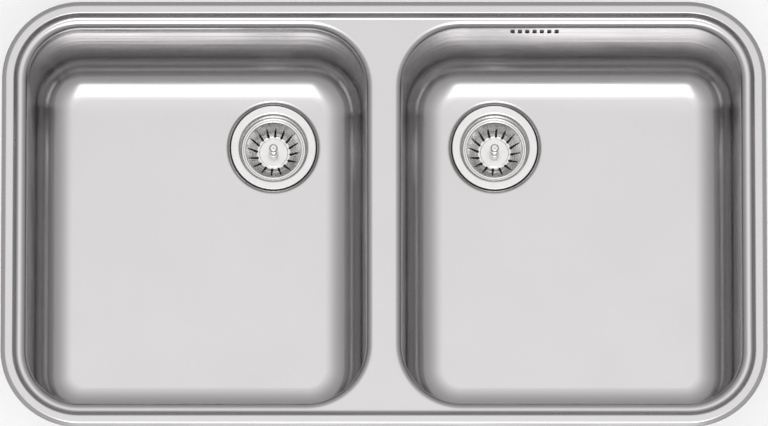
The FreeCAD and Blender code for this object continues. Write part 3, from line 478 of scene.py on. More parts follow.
def rim_profile(sizes):
    """Lip, sloping band, flat band and the step down to the deck."""
    profile = Profile(0, 0, QUARTER).line(sizes.lip).bend(sizes.edge_bend, sizes.slope - QUARTER)
    profile.reach(DECK_HIGH[2] - bend_height(sizes.crown_bend, sizes.slope))
    profile.bend(sizes.crown_bend, -sizes.slope).line(sizes.rim_flat).bend(sizes.step_top, -sizes.step_tilt)
    return profile.settle(deck_height(sizes), sizes.step_foot, sizes.step_tilt)


def deck_height(sizes):
    return DECK_HIGH[2] - sizes.deck_drop


def floor_height():
    """Top of the bowls' floor: the pads lie under it, a sheet's thickness down."""
    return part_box("left_pad")[1][2] + bpy.context.scene.sink_sheet.sheet


def roll_profile(sizes):
    """Rolled edge from the deck into a bowl, down to the weld."""
    return Profile(0, deck_height(sizes), 0).bend(sizes.roll, sizes.draft - QUARTER).line(sizes.collar)


class Mouth:
    """Where the deck starts to roll into the right bowl: a rectangle, its corners' radii and centres."""

    def __init__(self, sizes):
        self.rim = rim_profile(sizes).at[0]
        inset = self.rim + sizes.ledge
        self.left, self.right = sizes.divider / 2, DECK_HIGH[0] - inset
        self.front, self.rear = DECK_LOW[1] + inset, DECK_HIGH[1] - inset
        self.outer, self.inner = sizes.corner - inset, sizes.divider_corner
        self.rear_right = np.array([self.right - self.outer, self.rear - self.outer])
        self.rear_left = np.array([self.left + self.inner, self.rear - self.inner])
        self.front_left = np.array([self.left + self.inner, self.front + self.inner])
        self.front_right = np.array([self.right - self.outer, self.front + self.outer])

    def side(self, name, stations=()):
        """Straight side of the mouth between its corners; stations is a function of its two ends."""
        ends = {"right": ((self.right, self.front_right[1]), (self.right, self.rear_right[1])),
                "rear": ((self.rear_right[0], self.rear), (self.rear_left[0], self.rear)),
                "left": ((self.left, self.rear_left[1]), (self.left, self.front_left[1])),
                "front": ((self.front_left[0], self.front), (self.front_right[0], self.front))}[name]
        return straight(*ends, stations=stations(*ends) if stations else ())


def deck_patches(sizes):
    """Right half of the top: rim, flat deck and rolled edge, all on the stations of the bowl's outline.

    The deck is ruled from each point of the bowl's mouth along its outward direction, to the rim's foot or
    to the middle line X = 0, which a square corner joins.
    """
    mouth = Mouth(sizes)
    reach = mouth.rear + sizes.ledge
    corner = math.degrees(math.atan2(reach - mouth.rear_left[1], -mouth.rear_left[0]))
    under_rim = [arc(mouth.front_left, mouth.inner, 360 - corner, 270), mouth.side("front"),
                 arc(mouth.front_right, mouth.outer, 270, 360), mouth.side("right"),
                 arc(mouth.rear_right, mouth.outer, 0, 90), mouth.side("rear"),
                 arc(mouth.rear_left, mouth.inner, 90, corner)]
    beside_middle = [arc(mouth.rear_left, mouth.inner, corner, 180), mouth.side("left"),
                     arc(mouth.front_left, mouth.inner, 180, 360 - corner)]
    points, out = outline_of(*under_rim, *beside_middle)
    on_rim = sum(len(p) for p, _ in under_rim)
    to_rim = (reach - np.abs(points[:, 1])) / np.maximum(np.abs(out[:, 1]), TINY)
    to_middle = points[:, 0] / np.maximum(-out[:, 0], TINY)
    run = np.where(points[:, 0] > mouth.rear_left[0], sizes.ledge, np.minimum(to_rim, to_middle))
    foot = points + run[:, None] * out
    foot[np.abs(foot[:, 0]) < TINY, 0] = 0
    near_middle = points[:, :1] < mouth.rear_left[0]
    square = np.column_stack([np.zeros(len(points)), np.sign(points[:, 1])])
    rim_out = np.where(near_middle, square, out)[:on_rim]
    rim = carried((foot[:on_rim] + mouth.rim * rim_out, rim_out), rim_profile(sizes).sampled())
    height = deck_height(sizes)
    plate = between(level(foot, height), level(points, height), PLATE_ROWS)
    roll = carried((points, out), roll_profile(sizes).sampled())
    return [rim, plate, roll]


def pressed_top(sizes):
    half = deck_patches(sizes)
    return thickened(stitched(half + [mirrored(patch) for patch in half]), sizes.sheet)


# ---- bowls -----------------------------------------------------------------------------------
RAY_STEP = math.radians(2.5)    # between the lines that join the drain's recess to the floor's edge
WALL_ROWS = 6                   # even parts down the wall, and points across the weld with both its ends


def wall_profile(sizes, rows=()):
    """Ground weld, wall and floor bend; rows are extra distances down the wall from the weld."""
    top = roll_profile(sizes)
    turn = QUARTER - sizes.draft
    profile = Profile(*top.at, top.heading)
    weld = np.linspace(0, sizes.weld, WALL_ROWS)[1:]
    foot = floor_height() + bend_height(sizes.floor_bend, turn)
    run = (foot - top.at[1]) / math.sin(top.heading)
    even = np.linspace(run / WALL_ROWS, run, WALL_ROWS)[:-1]
    return profile.line(run, [*weld, *rows, *even]).bend(sizes.floor_bend, turn)


def welded(points, sizes):
    """Raises the first stretch of a wall's line by weld_rise * sin(pi * t), as a ground weld stands."""
    down = np.linalg.norm(points - points[0], axis=1)
    t = np.clip(down / sizes.weld, 0, 1)
    off = sizes.weld_rise * np.sin(math.pi * t)
    normal = np.array([math.cos(sizes.draft), math.sin(sizes.draft)])
    return points + off[:, None] * normal


def rays_from(drain, inset):
    """Gives the stations of a side: where lines from the drain at even turns meet it, inset to the floor."""
    def stations(start, end):
        start, end = np.array(start), np.array(end)
        run = np.linalg.norm(end - start)
        along = (end - start) / run
        out = np.array([along[1], -along[0]])
        offset = drain - (start - inset * out)
        foot, away = offset @ along, abs(offset @ out)
        first, last = math.atan2(-foot, away), math.atan2(run - foot, away)
        turns = np.linspace(first, last, math.ceil((last - first) / RAY_STEP) + 1)
        return foot + away * np.tan(turns[1:-1])
    return stations


def hole_cell(border, low, high, radius, rings=4):
    """Plane grid between a cell's border and the hole in it, whose edge is at a radius from a segment.

    Each border point is joined to the hole's nearest point: S + radius * (B - S) / |B - S|, S being B's
    second coordinate kept between low and high. The radius goes evenly from its first to its last value.
    """
    near = np.column_stack([np.zeros(len(border)), np.clip(border[:, 1], low, high)])
    share = (near[:, 1] - low) / max(high - low, TINY)
    reach = radius[0] + (radius[1] - radius[0]) * share
    toward = border - near
    edge = near + reach[:, None] * toward / np.linalg.norm(toward, axis=1, keepdims=True)
    t = np.linspace(0, 1, rings + 1)[None, :, None]
    return border[:, None, :] + t * (edge - border)[:, None, :]


def border_of(columns, rows):
    """Closed border of a cell, round its four sides in the order of the grid's own faces."""
    first, last = columns[0], columns[-1]
    low, high = rows[0], rows[-1]
    sides = [np.column_stack([columns[:-1], np.full(len(columns) - 1, low)]),
             np.column_stack([np.full(len(rows) - 1, last), rows[:-1]]),
             np.column_stack([columns[:0:-1], np.full(len(columns) - 1, high)]),
             np.column_stack([np.full(len(rows) - 1, first), rows[:0:-1]]),
             [[first, low]]]
    return np.concatenate(sides)


SLOT_COLUMNS, SLOT_ROWS = 6, 16     # quads across and down the wall in each slot's cell


def slot_rows(sizes, slots):
    """Distances down the wall, from the weld, of the rows in the slots' patch."""
    top = roll_profile(sizes).at[1]
    high = deck_height(sizes) - slots.top + slots.margin
    low = high - slots.height - 2 * slots.margin
    return (top - np.linspace(high, low, SLOT_ROWS + 1)) / math.cos(sizes.draft)


def bowl_patches(sizes, drain, slots=None):
    """Wall, floor and drain recess of a bowl on the right. The slots, if any, are cut in its rear wall."""
    mouth = Mouth(sizes)
    rows = slot_rows(sizes, slots) if slots else ()
    wall = welded(wall_profile(sizes, rows).sampled(), sizes)
    floor_inset = wall[-1, 0]
    rays = rays_from(drain, floor_inset)
    half = slots.count * slots.pitch / 2 if slots else 0
    centre = middle("overflow_box")[0]
    marks = np.empty(0)
    if slots:
        marks = np.linspace(centre + half, centre - half, slots.count * SLOT_COLUMNS + 1)

    def rear_stations(start, end):
        even = rays(start, end)
        at = start[0] - even
        clear = np.abs(at - centre) > half + GUARD
        return [*(even[clear] if slots else even), *(start[0] - marks)]

    points, out = outline_of(
        mouth.side("right", rays), arc(mouth.rear_right, mouth.outer, 0, 90),
        mouth.side("rear", rear_stations), arc(mouth.rear_left, mouth.inner, 90, 180),
        mouth.side("left", rays), arc(mouth.front_left, mouth.inner, 180, 270),
        mouth.side("front", rays), arc(mouth.front_right, mouth.outer, 270, 360))
    shell = carried((points, out), wall)
    patches = [shell]
    if slots:
        in_row = np.abs(points[:, 1] - mouth.rear) < TINY
        columns = np.flatnonzero(in_row & (np.abs(points[:, 0] - centre) < half + TINY))
        down = np.linalg.norm(wall - wall[0], axis=1)
        in_cell = (down > rows[0] - TINY) & (down < rows[-1] + TINY)
        lines = np.flatnonzero(in_cell & (wall[:, 0] < floor_inset / 2))
        keep = np.ones((len(points) - 1, len(wall) - 1), dtype=bool)
        keep[columns[0]:columns[-1], lines[0]:lines[-1]] = False
        patches = [(shell, keep)] + slot_cells(shell, columns, lines, slots)
    recess_start = sizes.recess + sizes.recess_brow * math.tan(sizes.recess_tilt / 2)
    edge = points - floor_inset * out
    ray = (edge - drain) / np.linalg.norm(edge - drain, axis=1, keepdims=True)
    height = floor_height()
    patches.append(between(level(edge, height), level(drain + recess_start * ray, height), PLATE_ROWS))
    recess = Profile(0, height, 0).bend(sizes.recess_brow, -sizes.recess_tilt)
    recess.settle(height - sizes.recess_depth, sizes.recess_foot, sizes.recess_tilt)
    recess.in_to(recess_start - sizes.drain_hole)
    patches.append(carried((drain + recess_start * ray, ray), recess.sampled()))
    return patches


def slot_cells(shell, columns, lines, slots):
    """One cell of wall round each slot, on the wall's own plane."""
    cells = []
    for first in columns[:-1:SLOT_COLUMNS]:
        corner = shell[first, lines[0]]
        across = shell[first + SLOT_COLUMNS, lines[0]] - corner
        down = shell[first, lines[-1]] - corner
        width, height = np.linalg.norm(across), np.linalg.norm(down)
        border = border_of(np.linspace(-width / 2, width / 2, SLOT_COLUMNS + 1),
                           np.linspace(0, height, len(lines)))
        radius = slots.width / 2
        low = slots.margin + radius
        cell = hole_cell(border, low, height - low, (radius, radius))
        place = cell - np.array([-width / 2, 0])
        cells.append(corner + place[..., :1] * across / width + place[..., 1:] * down / height)
    return cells


# ---- turned and plain parts ------------------------------------------------------------------
CELL_COLUMNS = 8        # quads round the turn in each hole's cell
TURNED_COLUMNS = 48     # quads round a small turned part
SHORT_SHARE = 0.4       # the most of a short side that a corner's arc takes


def revolved(centre, outer, profile, count):
    """A profile turned about the upright through centre, its inset measured from the outer radius."""
    return carried(circle(centre, outer, count), profile)


def pierced_turn(centre, outer, profile, count, first, span, hole):
    """Turned sheet with holes at even turns. Between the profile's rows in span each hole has its own cell.

    In a cell a point's coordinates are radius * turn from the hole and the distance along the profile.
    """
    half = math.pi / count
    turned = direction(np.linspace(0, 2 * math.pi, count * CELL_COLUMNS + 1) + first - half)
    grid = carried((centre + outer * turned, turned), profile)
    along = distances(profile)
    rows = np.flatnonzero((along > span[0] - TINY) & (along < span[1] + TINY))
    keep = np.ones((count * CELL_COLUMNS, len(profile) - 1), dtype=bool)
    keep[:, rows[0]:rows[-1]] = False
    border = border_of(np.linspace(-half, half, CELL_COLUMNS + 1), along[rows])
    radius_at = outer - np.interp(border[:, 1], along, profile[:, 0])
    low, high, radius = hole
    cell = hole_cell(np.column_stack([border[:, 0] * radius_at, border[:, 1]]), low, high, radius)
    radius_at = outer - np.interp(cell[..., 1], along, profile[:, 0])
    height = np.interp(cell[..., 1], along, profile[:, 1])
    share = np.where(radius_at > 0, cell[..., 0] / radius_at, 0)
    patches = [(grid, keep)]
    for number in range(count):
        turn = share + first + 2 * math.pi * number / count
        flat = centre + radius_at[..., None] * direction(turn)
        patches.append(np.concatenate([flat, height[..., None]], axis=-1))
    return patches


def lathed(centre, line, count=TURNED_COLUMNS):
    """Solid turned from a line of (radius, height), closed or from the foot of the axis to its top."""
    return stitched([revolved(centre, 0, line * np.array([-1, 1]), count)])


def through(corners, radius):
    """Line of (radius, height) through corners, each rounded by an arc.

    An arc starts radius * tan(turn / 2) before its corner, and is smaller where a side is short.
    """
    corners = np.array(corners)
    along = np.diff(corners, axis=0)
    run = np.linalg.norm(along, axis=1)
    heading = np.arctan2(along[:, 1], along[:, 0])
    turn = (np.diff(heading) + math.pi) % (2 * math.pi) - math.pi
    short = SHORT_SHARE * np.minimum(run[:-1], run[1:])
    bend = np.minimum(radius, short / np.tan(np.abs(turn) / 2))
    back = np.concatenate([[0], bend * np.tan(np.abs(turn) / 2), [0]])
    profile = Profile(*corners[0], heading[0])
    for side in range(len(run)):
        profile.line(run[side] - back[side] - back[side + 1])
        if side < len(turn):
            profile.bend(bend[side], turn[side])
            profile.heading = heading[side + 1]
    return profile.sampled()


def facing(start, axis, mesh):
    """Turns a mesh made round the Z axis to lie along a level axis: X goes to Z x axis, Y to Z."""
    points, faces = mesh
    axis = np.array([*axis, 0.0])
    up = np.array([0.0, 0.0, 1.0])
    return np.array(start) + points @ np.array([np.cross(up, axis), up, axis]), faces


def slab(outline, thickness):
    """Closed plate: an outline in X and Z given a thickness along Y, each face a fan from its middle."""
    outline = np.array([*outline, outline[0]])
    centre = np.broadcast_to(outline[:-1].mean(axis=0), outline.shape)
    rows = [np.column_stack([line[:, 0], np.full(len(line), y), line[:, 1]])
            for line, y in ((centre, -thickness / 2), (outline, -thickness / 2),
                            (outline, thickness / 2), (centre, thickness / 2))]
    return stitched([np.stack(rows)])


def round_about(centre, mesh, count, first=0.0):
    """Copies of a mesh turned evenly about the upright through centre."""
    points, faces = mesh
    turn = first + 2 * math.pi * np.arange(count) / count
    c, s = np.cos(turn)[:, None], np.sin(turn)[:, None]
    x = centre[0] + c * points[:, 0] - s * points[:, 1]
    y = centre[1] + s * points[:, 0] + c * points[:, 1]
    z = np.broadcast_to(points[:, 2], x.shape)
    shifted = faces[None] + len(points) * np.arange(count)[:, None, None]
    return np.stack([x, y, z], axis=-1).reshape(-1, 3), shifted.reshape(-1, 4)


# ---- strainer --------------------------------------------------------------------------------
OUTLET_MARGIN = 0.6 * MM                # floor of the cup kept on each side of an outlet, in its cell
SLOT_MARGINS = (0.5 * MM, 0.4 * MM)     # basket kept beyond the outer and the inner end of a slot
OUTLET_ROWS, SLOT_STATIONS = 7, 13      # stations along the sheet in an outlet's and in a slot's cell
DISC_SLOPE = math.radians(45)           # step up to the disc
NECK_ROOM = 1.0 * MM                    # top of the knob's straight stem up to its head
CROWN_ROOM = 1.9 * MM                   # top of the knob's upright side up to its top
FOOT_ROOM = 1.2                         # part of the stem's foot that its edge takes, in edge radii


def cup_profile(sizes, top):
    """Flange, throat, the ledge that carries the basket, cone and floor."""
    throat = QUARTER - sizes.throat_draft
    profile = Profile(0, top - sizes.flange_edge, QUARTER).bend(sizes.flange_edge, -QUARTER)
    profile.line(sizes.flange_flat - sizes.flange_edge).bend(sizes.throat_bend, -throat)
    profile.settle(top - sizes.throat_depth, sizes.ledge_bend, throat)
    profile.in_to(sizes.flange - sizes.cone_top - sizes.shoulder * math.tan(sizes.cone / 2))
    profile.bend(sizes.shoulder, -sizes.cone)
    profile.settle(top - sizes.depth, sizes.foot_bend, sizes.cone)
    outlet = sizes.flange - sizes.outlet_circle - profile.at[0]
    margin = sizes.outlet + OUTLET_MARGIN
    run = sizes.flange - sizes.screw_hole - profile.at[0]
    return profile, (outlet - margin, outlet + margin), run


def cup(sizes, centre, top):
    profile, (near, far), run = cup_profile(sizes, top)
    before = np.linalg.norm(np.diff(profile.sampled(), axis=0), axis=1).sum()
    profile.line(run, np.linspace(near, far, OUTLET_ROWS))
    hole = (before + (near + far) / 2, before + (near + far) / 2, (sizes.outlet, sizes.outlet))
    patches = pierced_turn(centre, sizes.flange, profile.sampled(), sizes.outlets, 0,
                           (before + near, before + far), hole)
    return thickened(stitched(patches), sizes.sheet)


def basket(sizes, centre, top):
    """Rolled rim, slotted side and floor, and the raised disc that the knob stands on."""
    profile = Profile(0, top - sizes.basket_edge, QUARTER).bend(sizes.basket_edge, -QUARTER)
    profile.line(sizes.basket_lip).bend(sizes.basket_bend, -sizes.basket_slope)
    profile.settle(top - sizes.basket_depth, sizes.basket_foot, sizes.basket_slope)
    profile.in_to(sizes.basket_rim - sizes.disc)
    profile.bend(sizes.disc_bend, DISC_SLOPE).bend(sizes.disc_bend, -DISC_SLOPE)
    profile.in_to(sizes.basket_rim - sizes.pin)
    line = profile.sampled()
    along = distances(line)
    radius = sizes.basket_rim - line[:, 0]
    reach = np.interp([-sizes.slot_reach, -sizes.slot_circle], -radius, along)
    ends = (reach[0] + sizes.slot_half, reach[1])
    span = (ends[0] - sizes.slot_half - SLOT_MARGINS[0], ends[1] + sizes.slot_hole + SLOT_MARGINS[1])
    stations = np.linspace(*span, SLOT_STATIONS)
    along_all = np.unique(np.round(np.concatenate([along, stations]), PLACE_DIGITS + 1))
    line = np.column_stack([np.interp(along_all, along, line[:, axis]) for axis in (0, 1)])
    hole = (*ends, (sizes.slot_half, sizes.slot_hole))
    patches = pierced_turn(centre, sizes.basket_rim, line, sizes.slots, sizes.slot_turn, span, hole)
    return thickened(stitched(patches), sizes.basket_sheet)


def pull_knob(sizes, centre, low, high):
    """Pin, foot, waisted stem and round head."""
    foot = high - sizes.knob_height
    head = high - sizes.knob_head
    soft = sizes.knob_soft
    flare, slope = sizes.knob_flare, sizes.dimple_slope
    profile = Profile(0, low, 0).line(sizes.pin - soft).bend(soft, QUARTER).reach(foot)
    profile.heading = 0
    profile.line(sizes.knob_foot - sizes.pin - soft).bend(soft, QUARTER)
    profile.bend(soft, QUARTER).line(sizes.knob_step)
    profile.bend(sizes.knob_foot - sizes.knob_neck - FOOT_ROOM * soft, -QUARTER)
    profile.reach(head - NECK_ROOM)
    profile.bend(sizes.knob_shoulder, -flare).line(sizes.knob_flank).bend(sizes.knob_chin, flare)
    profile.reach(high - CROWN_ROOM).bend(sizes.knob_crown, QUARTER)
    profile.line(profile.at[0] - sizes.knob_dish)
    profile.bend(sizes.knob_dimple, slope).bend(sizes.knob_dimple, -slope)
    line = profile.sampled()
    return lathed(centre, np.concatenate([line, [[0, line[-1, 1]]]]))


# ---- wastes ----------------------------------------------------------------------------------
SAME_RADIUS = 1e-7                      # metres, points nearer than this to a radius are on it
WASTE_COLUMNS, BOSS_COLUMNS, STOPPER_COLUMNS = 96, 32, 64
SPOKES = 4                              # ribs that carry the boss
GUSSET_SETBACK = 3                      # flange's edge to the gussets' tips, in soft radii
LIP_RISE, GROOVE_DEPTH = 0.4, 0.15      # of the stopper's thickness


def threaded(grid, low, high, minor, depth, pitch, centre):
    """Raises a turned grid into a screw thread.

    The rise is depth * (1 - |2 f - 1|), f being the fraction of z / pitch - turn / 2 pi. Only points at the
    minor radius between two heights move, and the thread runs out over a pitch at each end.
    """
    offset = grid[..., :2] - centre
    radius = np.linalg.norm(offset, axis=-1)
    turn = np.linspace(0, 1, len(grid))[:, None]
    height = grid[..., 2] - low
    share = (height / pitch - turn) % 1
    fade = np.clip(height / pitch, 0, 1) * np.clip((high - low - height) / pitch, 0, 1)
    raised = np.where(np.abs(radius - minor) < SAME_RADIUS, depth * (1 - np.abs(2 * share - 1)) * fade, 0)
    grid = grid.copy()
    grid[..., :2] += raised[..., None] * offset / np.maximum(radius, TINY)[..., None]
    return grid


def waste_body(sizes, centre, low, high):
    """Turned shell with its flange, gussets and outlet thread, and the boss on a cross of ribs inside it."""
    bore, neck = sizes.bore, sizes.thread - sizes.thread_depth
    wall, flange = sizes.wall, sizes.flange
    waist, shoulder = high - sizes.waist_drop, high - sizes.straight
    foot, throat = waist - sizes.waist_run, waist - sizes.waist_run - sizes.neck_drop
    thread_top = low + sizes.thread_length
    collar = sizes.collar
    outside = through([(neck, low + sizes.chamfer), (neck, thread_top), (neck + collar, thread_top + collar),
                       (neck + collar, throat), (sizes.waist + wall, foot), (sizes.waist + wall, waist),
                       (sizes.mouth + wall, shoulder), (sizes.mouth + wall, high - sizes.flange_thick),
                       (flange, high - sizes.flange_thick), (flange, high), (sizes.mouth, high),
                       (sizes.mouth, shoulder), (sizes.waist, waist), (sizes.waist, foot), (bore, throat),
                       (bore, low), (neck - sizes.chamfer, low), (neck, low + sizes.chamfer)], sizes.soft)
    on_thread = (np.abs(outside[:, 0] - neck) < SAME_RADIUS) & (outside[:, 1] < thread_top)
    rows = np.linspace(low + sizes.chamfer, thread_top, sizes.thread_rows)
    first = outside[:np.flatnonzero(on_thread)[0]]
    rest = outside[np.flatnonzero(outside[:, 1] > thread_top)[0]:]
    line = np.concatenate([first, np.column_stack([np.full(len(rows), neck), rows]), rest])
    grid = revolved(centre, 0, line * np.array([-1, 1]), WASTE_COLUMNS)
    shell = stitched([threaded(grid, low, thread_top, neck, sizes.thread_depth, sizes.thread_pitch, centre)])
    inner, under = sizes.mouth + wall / 2, high - sizes.flange_thick / 2
    tip = flange - GUSSET_SETBACK * sizes.soft
    gusset = slab([(inner, under - sizes.gusset), (tip, under), (inner, under)], sizes.rib / 2)
    boss_top = foot + sizes.boss_length
    boss = through([(sizes.screw, foot), (sizes.boss, foot), (sizes.boss, boss_top), (sizes.screw, boss_top),
                    (sizes.screw, foot)], sizes.soft)
    near, far = sizes.boss - wall / 2, sizes.waist + wall / 2
    spoke = slab([(near, foot), (far, foot), (far, boss_top), (near, boss_top)], sizes.rib)
    return joined(shell, lathed(centre, boss, BOSS_COLUMNS), round_about(centre, gusset, sizes.gussets),
                  round_about(centre, spoke, SPOKES, math.pi / SPOKES))


def inlet(sizes, centre):
    """Spigot for the overflow pipe, from inside the shell's wall to the seal under the pipe's nut."""
    low, high = (np.array(corner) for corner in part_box("pipe_seal"))
    end = (low + high) / 2
    axis = end[:2] - centre
    reach = np.linalg.norm(axis) - sizes.seal / 2
    start = sizes.waist + sizes.wall / 2
    line = through([(sizes.spigot_bore, start), (sizes.spigot, start), (sizes.spigot, reach),
                    (sizes.spigot_bore, reach), (sizes.spigot_bore, start)], sizes.soft)
    return facing([*centre, end[2]], axis / np.linalg.norm(axis), lathed(np.zeros(2), line))


def stopper(sizes, low, high, centre, hole):
    """Rubber disc with a rounded lip that thins towards its edge, and a shallow groove inside the lip."""
    radius = (high[0] - low[0]) / 2
    thick = high[2] - low[2]
    lip = sizes.stopper_lip
    line = through([(hole, low[2]), (radius - lip, low[2]), (radius, low[2] + thick * LIP_RISE),
                    (radius, high[2]), (radius - lip, high[2] - thick * GROOVE_DEPTH),
                    (radius - 2 * lip, high[2]), (hole, high[2]), (hole, low[2])], sizes.stopper_soft)
    return lathed(centre, line, STOPPER_COLUMNS)


# ---- finishes --------------------------------------------------------------------------------
NOISE_LOW, NOISE_HIGH = 0.3, 0.7    # nearly all of a noise's value lies between these


def linear(hex_colour):
    """sRGB hex to linear: c / 12.92 up to 0.04045, else ((c + 0.055) / 1.055) ^ 2.4."""
    c = np.array([int(hex_colour[i:i + 2], 16) for i in (1, 3, 5)]) / 255
    return (*np.where(c <= 0.04045, c / 12.92, ((c + 0.055) / 1.055) ** 2.4).tolist(), 1.0)


def add_node(tree, kind, settings=(), inputs=(), output=0):
    """Adds a node with its settings and gives one output. An input that is an output socket is linked."""
    made = tree.nodes.new(kind)
    for name, value in dict(settings).items():
        setattr(made, name, value)
    for name, value in dict(inputs).items():
        if isinstance(value, bpy.types.NodeSocket):
            tree.links.new(value, made.inputs[name])
        else:
            made.inputs[name].default_value = value
    return made.outputs[output]


def new_finish(name, hex_colour, roughness, metallic=0.0):
    """A material with one principled shader; gives its node tree and that shader."""
    material = bpy.data.materials.new(name)
    material.use_nodes = True
    shader = material.node_tree.nodes["Principled BSDF"]
    shader.inputs["Base Color"].default_value = linear(hex_colour)
    shader.inputs["Roughness"].default_value = roughness
    shader.inputs["Metallic"].default_value = metallic
    return material.node_tree, shader


def noise_on_object(tree, spacing, detail=2.0, roughness=0.5):
    """Noise on the piece's own coordinates, with the spacing of its grain in metres along X, Y and Z."""
    place = add_node(tree, "ShaderNodeTexCoord", output="Object")
    scaled = add_node(tree, "ShaderNodeMapping", inputs={
        "Vector": place, "Scale": tuple(1 / s for s in spacing)})
    return add_node(tree, "ShaderNodeTexNoise", inputs={
        "Vector": scaled, "Scale": 1.0, "Detail": detail, "Roughness": roughness})


def work_surface(tree, shader, reliefs, blotches, smooth, rough):
    """Lays a bump for each (height, depth in metres) over the last. A pattern spreads the roughness."""
    under = {}
    for height, depth in reliefs:
        under = {"Normal": add_node(tree, "ShaderNodeBump", inputs={
            "Height": height, "Strength": 1.0, "Distance": depth, **under})}
    tree.links.new(under["Normal"], shader.inputs["Normal"])
    spread = add_node(tree, "ShaderNodeMapRange", inputs={
        "Value": blotches, "From Min": NOISE_LOW, "From Max": NOISE_HIGH, "To Min": smooth, "To Max": rough})
    tree.links.new(spread, shader.inputs["Roughness"])


def satin_steel(colours):
    """Deep drawn stainless sheet, satin ground along the walls.

    The eye gets soft broad reflections, drawn out in level streaks down the walls, where drawing and
    grinding leave marks at one height. The marks' real spacing is 0.2 mm: here they are 10 mm and 3 mm, as
    coarse as they must be to show.
    """
    tree, shader = new_finish("satin_steel", colours.steel, 0.2, 1.0)
    marks = noise_on_object(tree, (400 * MM, 400 * MM, 10 * MM), 3.0)
    grain = noise_on_object(tree, (60 * MM, 60 * MM, 3 * MM))
    work_surface(tree, shader, [(marks, 0.3 * MM), (grain, 0.006 * MM)],
                 noise_on_object(tree, (70 * MM, 70 * MM, 70 * MM), 3.0), 0.17, 0.24)


def polished_steel(colours):
    """Bright pressed stainless strainer parts: sharper reflections, with faint wide ripples of the press."""
    tree, shader = new_finish("polished_steel", colours.bright, 0.2, 1.0)
    ripples = noise_on_object(tree, (9 * MM, 9 * MM, 9 * MM), 1.0)
    work_surface(tree, shader, [(ripples, 0.012 * MM)], ripples, 0.17, 0.26)


def zinc_plate(colours):
    """Bright zinc on mild steel clips and nuts: bluish, cloudy and a little rough from the bath."""
    tree, shader = new_finish("zinc_plate", colours.zinc, 0.35, 1.0)
    cloud = noise_on_object(tree, (4 * MM, 4 * MM, 4 * MM), 4.0, 0.6)
    work_surface(tree, shader, [(cloud, 0.04 * MM)], cloud, 0.28, 0.46)


def moulded_polypropylene(name, hex_colour):
    """Injection moulded waste parts: soft sheen from spark eroded mould walls, hardly any grain."""
    tree, shader = new_finish(name, hex_colour, 0.42)
    shader.inputs["IOR"].default_value = 1.49
    grain = noise_on_object(tree, (0.8 * MM, 0.8 * MM, 0.8 * MM))
    clouds = noise_on_object(tree, (12 * MM, 12 * MM, 12 * MM))
    work_surface(tree, shader, [(grain, 0.02 * MM)], clouds, 0.38, 0.48)


def black_rubber(colours):
    """Moulded nitrile seals and stoppers: dull, with a dusty bloom."""
    tree, shader = new_finish("black_rubber", colours.rubber, 0.7)
    bloom = noise_on_object(tree, (5 * MM, 5 * MM, 5 * MM), 4.0, 0.6)
    work_surface(tree, shader, [(bloom, 0.05 * MM)], bloom, 0.6, 0.8)


def cell_foam(colours):
    """Closed cell foam strip under the rim: matt, with open cells on its cut faces."""
    tree, shader = new_finish("cell_foam", colours.foam, 0.9)
    place = add_node(tree, "ShaderNodeTexCoord", output="Object")
    cells = add_node(tree, "ShaderNodeTexVoronoi", inputs={"Vector": place, "Scale": 1 / (0.9 * MM)})
    work_surface(tree, shader, [(cells, 0.3 * MM)], cells, 0.85, 0.95)


def bitumen_pad(colours):
    """Pressed bitumen sound pad: matt, grainy filler, with a slight tacky sheen."""
    tree, shader = new_finish("bitumen_pad", colours.pad, 0.75)
    grain = noise_on_object(tree, (1.6 * MM, 1.6 * MM, 1.6 * MM), 4.0, 0.65)
    work_surface(tree, shader, [(grain, 0.25 * MM)], grain, 0.55, 0.85)


FINISH_OF_SLOT = {"sink_steel": "satin_steel", "strainer_steel": "polished_steel", "clip_steel": "zinc_plate",
                  "waste_plastic": "waste_polypropylene", "nut_plastic": "nut_polypropylene",
                  "rubber": "black_rubber", "foam": "cell_foam", "pad_bitumen": "bitumen_pad"}


# ---- operators -------------------------------------------------------------------------------
class MakeFinishes(bpy.types.Operator):
    """Makes every finish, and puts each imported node's own on it"""

    bl_idname = "sink.finishes"
    bl_label = "Finishes"

    def execute(self, context):
        colours = context.scene.sink_colours
        satin_steel(colours)
        polished_steel(colours)
        zinc_plate(colours)
        moulded_polypropylene("waste_polypropylene", colours.plastic)
        moulded_polypropylene("nut_polypropylene", colours.nut)
        black_rubber(colours)
        cell_foam(colours)
        bitumen_pad(colours)
        for part in frame["record"]["subparts"]:
            mesh = frame["nodes"][part["node"]].data
            mesh.materials.clear()
            mesh.materials.append(bpy.data.materials[FINISH_OF_SLOT[part["material_slot"]]])
        return {"FINISHED"}


class MakePressedTop(bpy.types.Operator):
    """Makes the rim, deck and rolled edges from one sheet"""

    bl_idname = "sink.pressed_top"
    bl_label = "Pressed top"

    def execute(self, context):
        add_piece("pressed_top", pressed_top(context.scene.sink_sheet), "satin_steel", "sink", "sink_steel",
                  "deck_frame")
        return {"FINISHED"}


class MakeBowls(bpy.types.Operator):
    """Makes both bowls, the right one with the overflow slots"""

    bl_idname = "sink.bowls"
    bl_label = "Bowls"

    def execute(self, context):
        sizes = context.scene.sink_sheet
        for side, turn in SIDES:
            drain = middle(side + "_cup") * np.array([turn, 1])
            slots = context.scene.sink_slots if turn > 0 else None
            patches = bowl_patches(sizes, drain, slots)
            if turn < 0:
                patches = [mirrored(patch) for patch in patches]
            add_piece(side + "_bowl_shell", thickened(stitched(patches), sizes.sheet), "satin_steel", "sink",
                      "sink_steel", side + "_bowl")
        return {"FINISHED"}


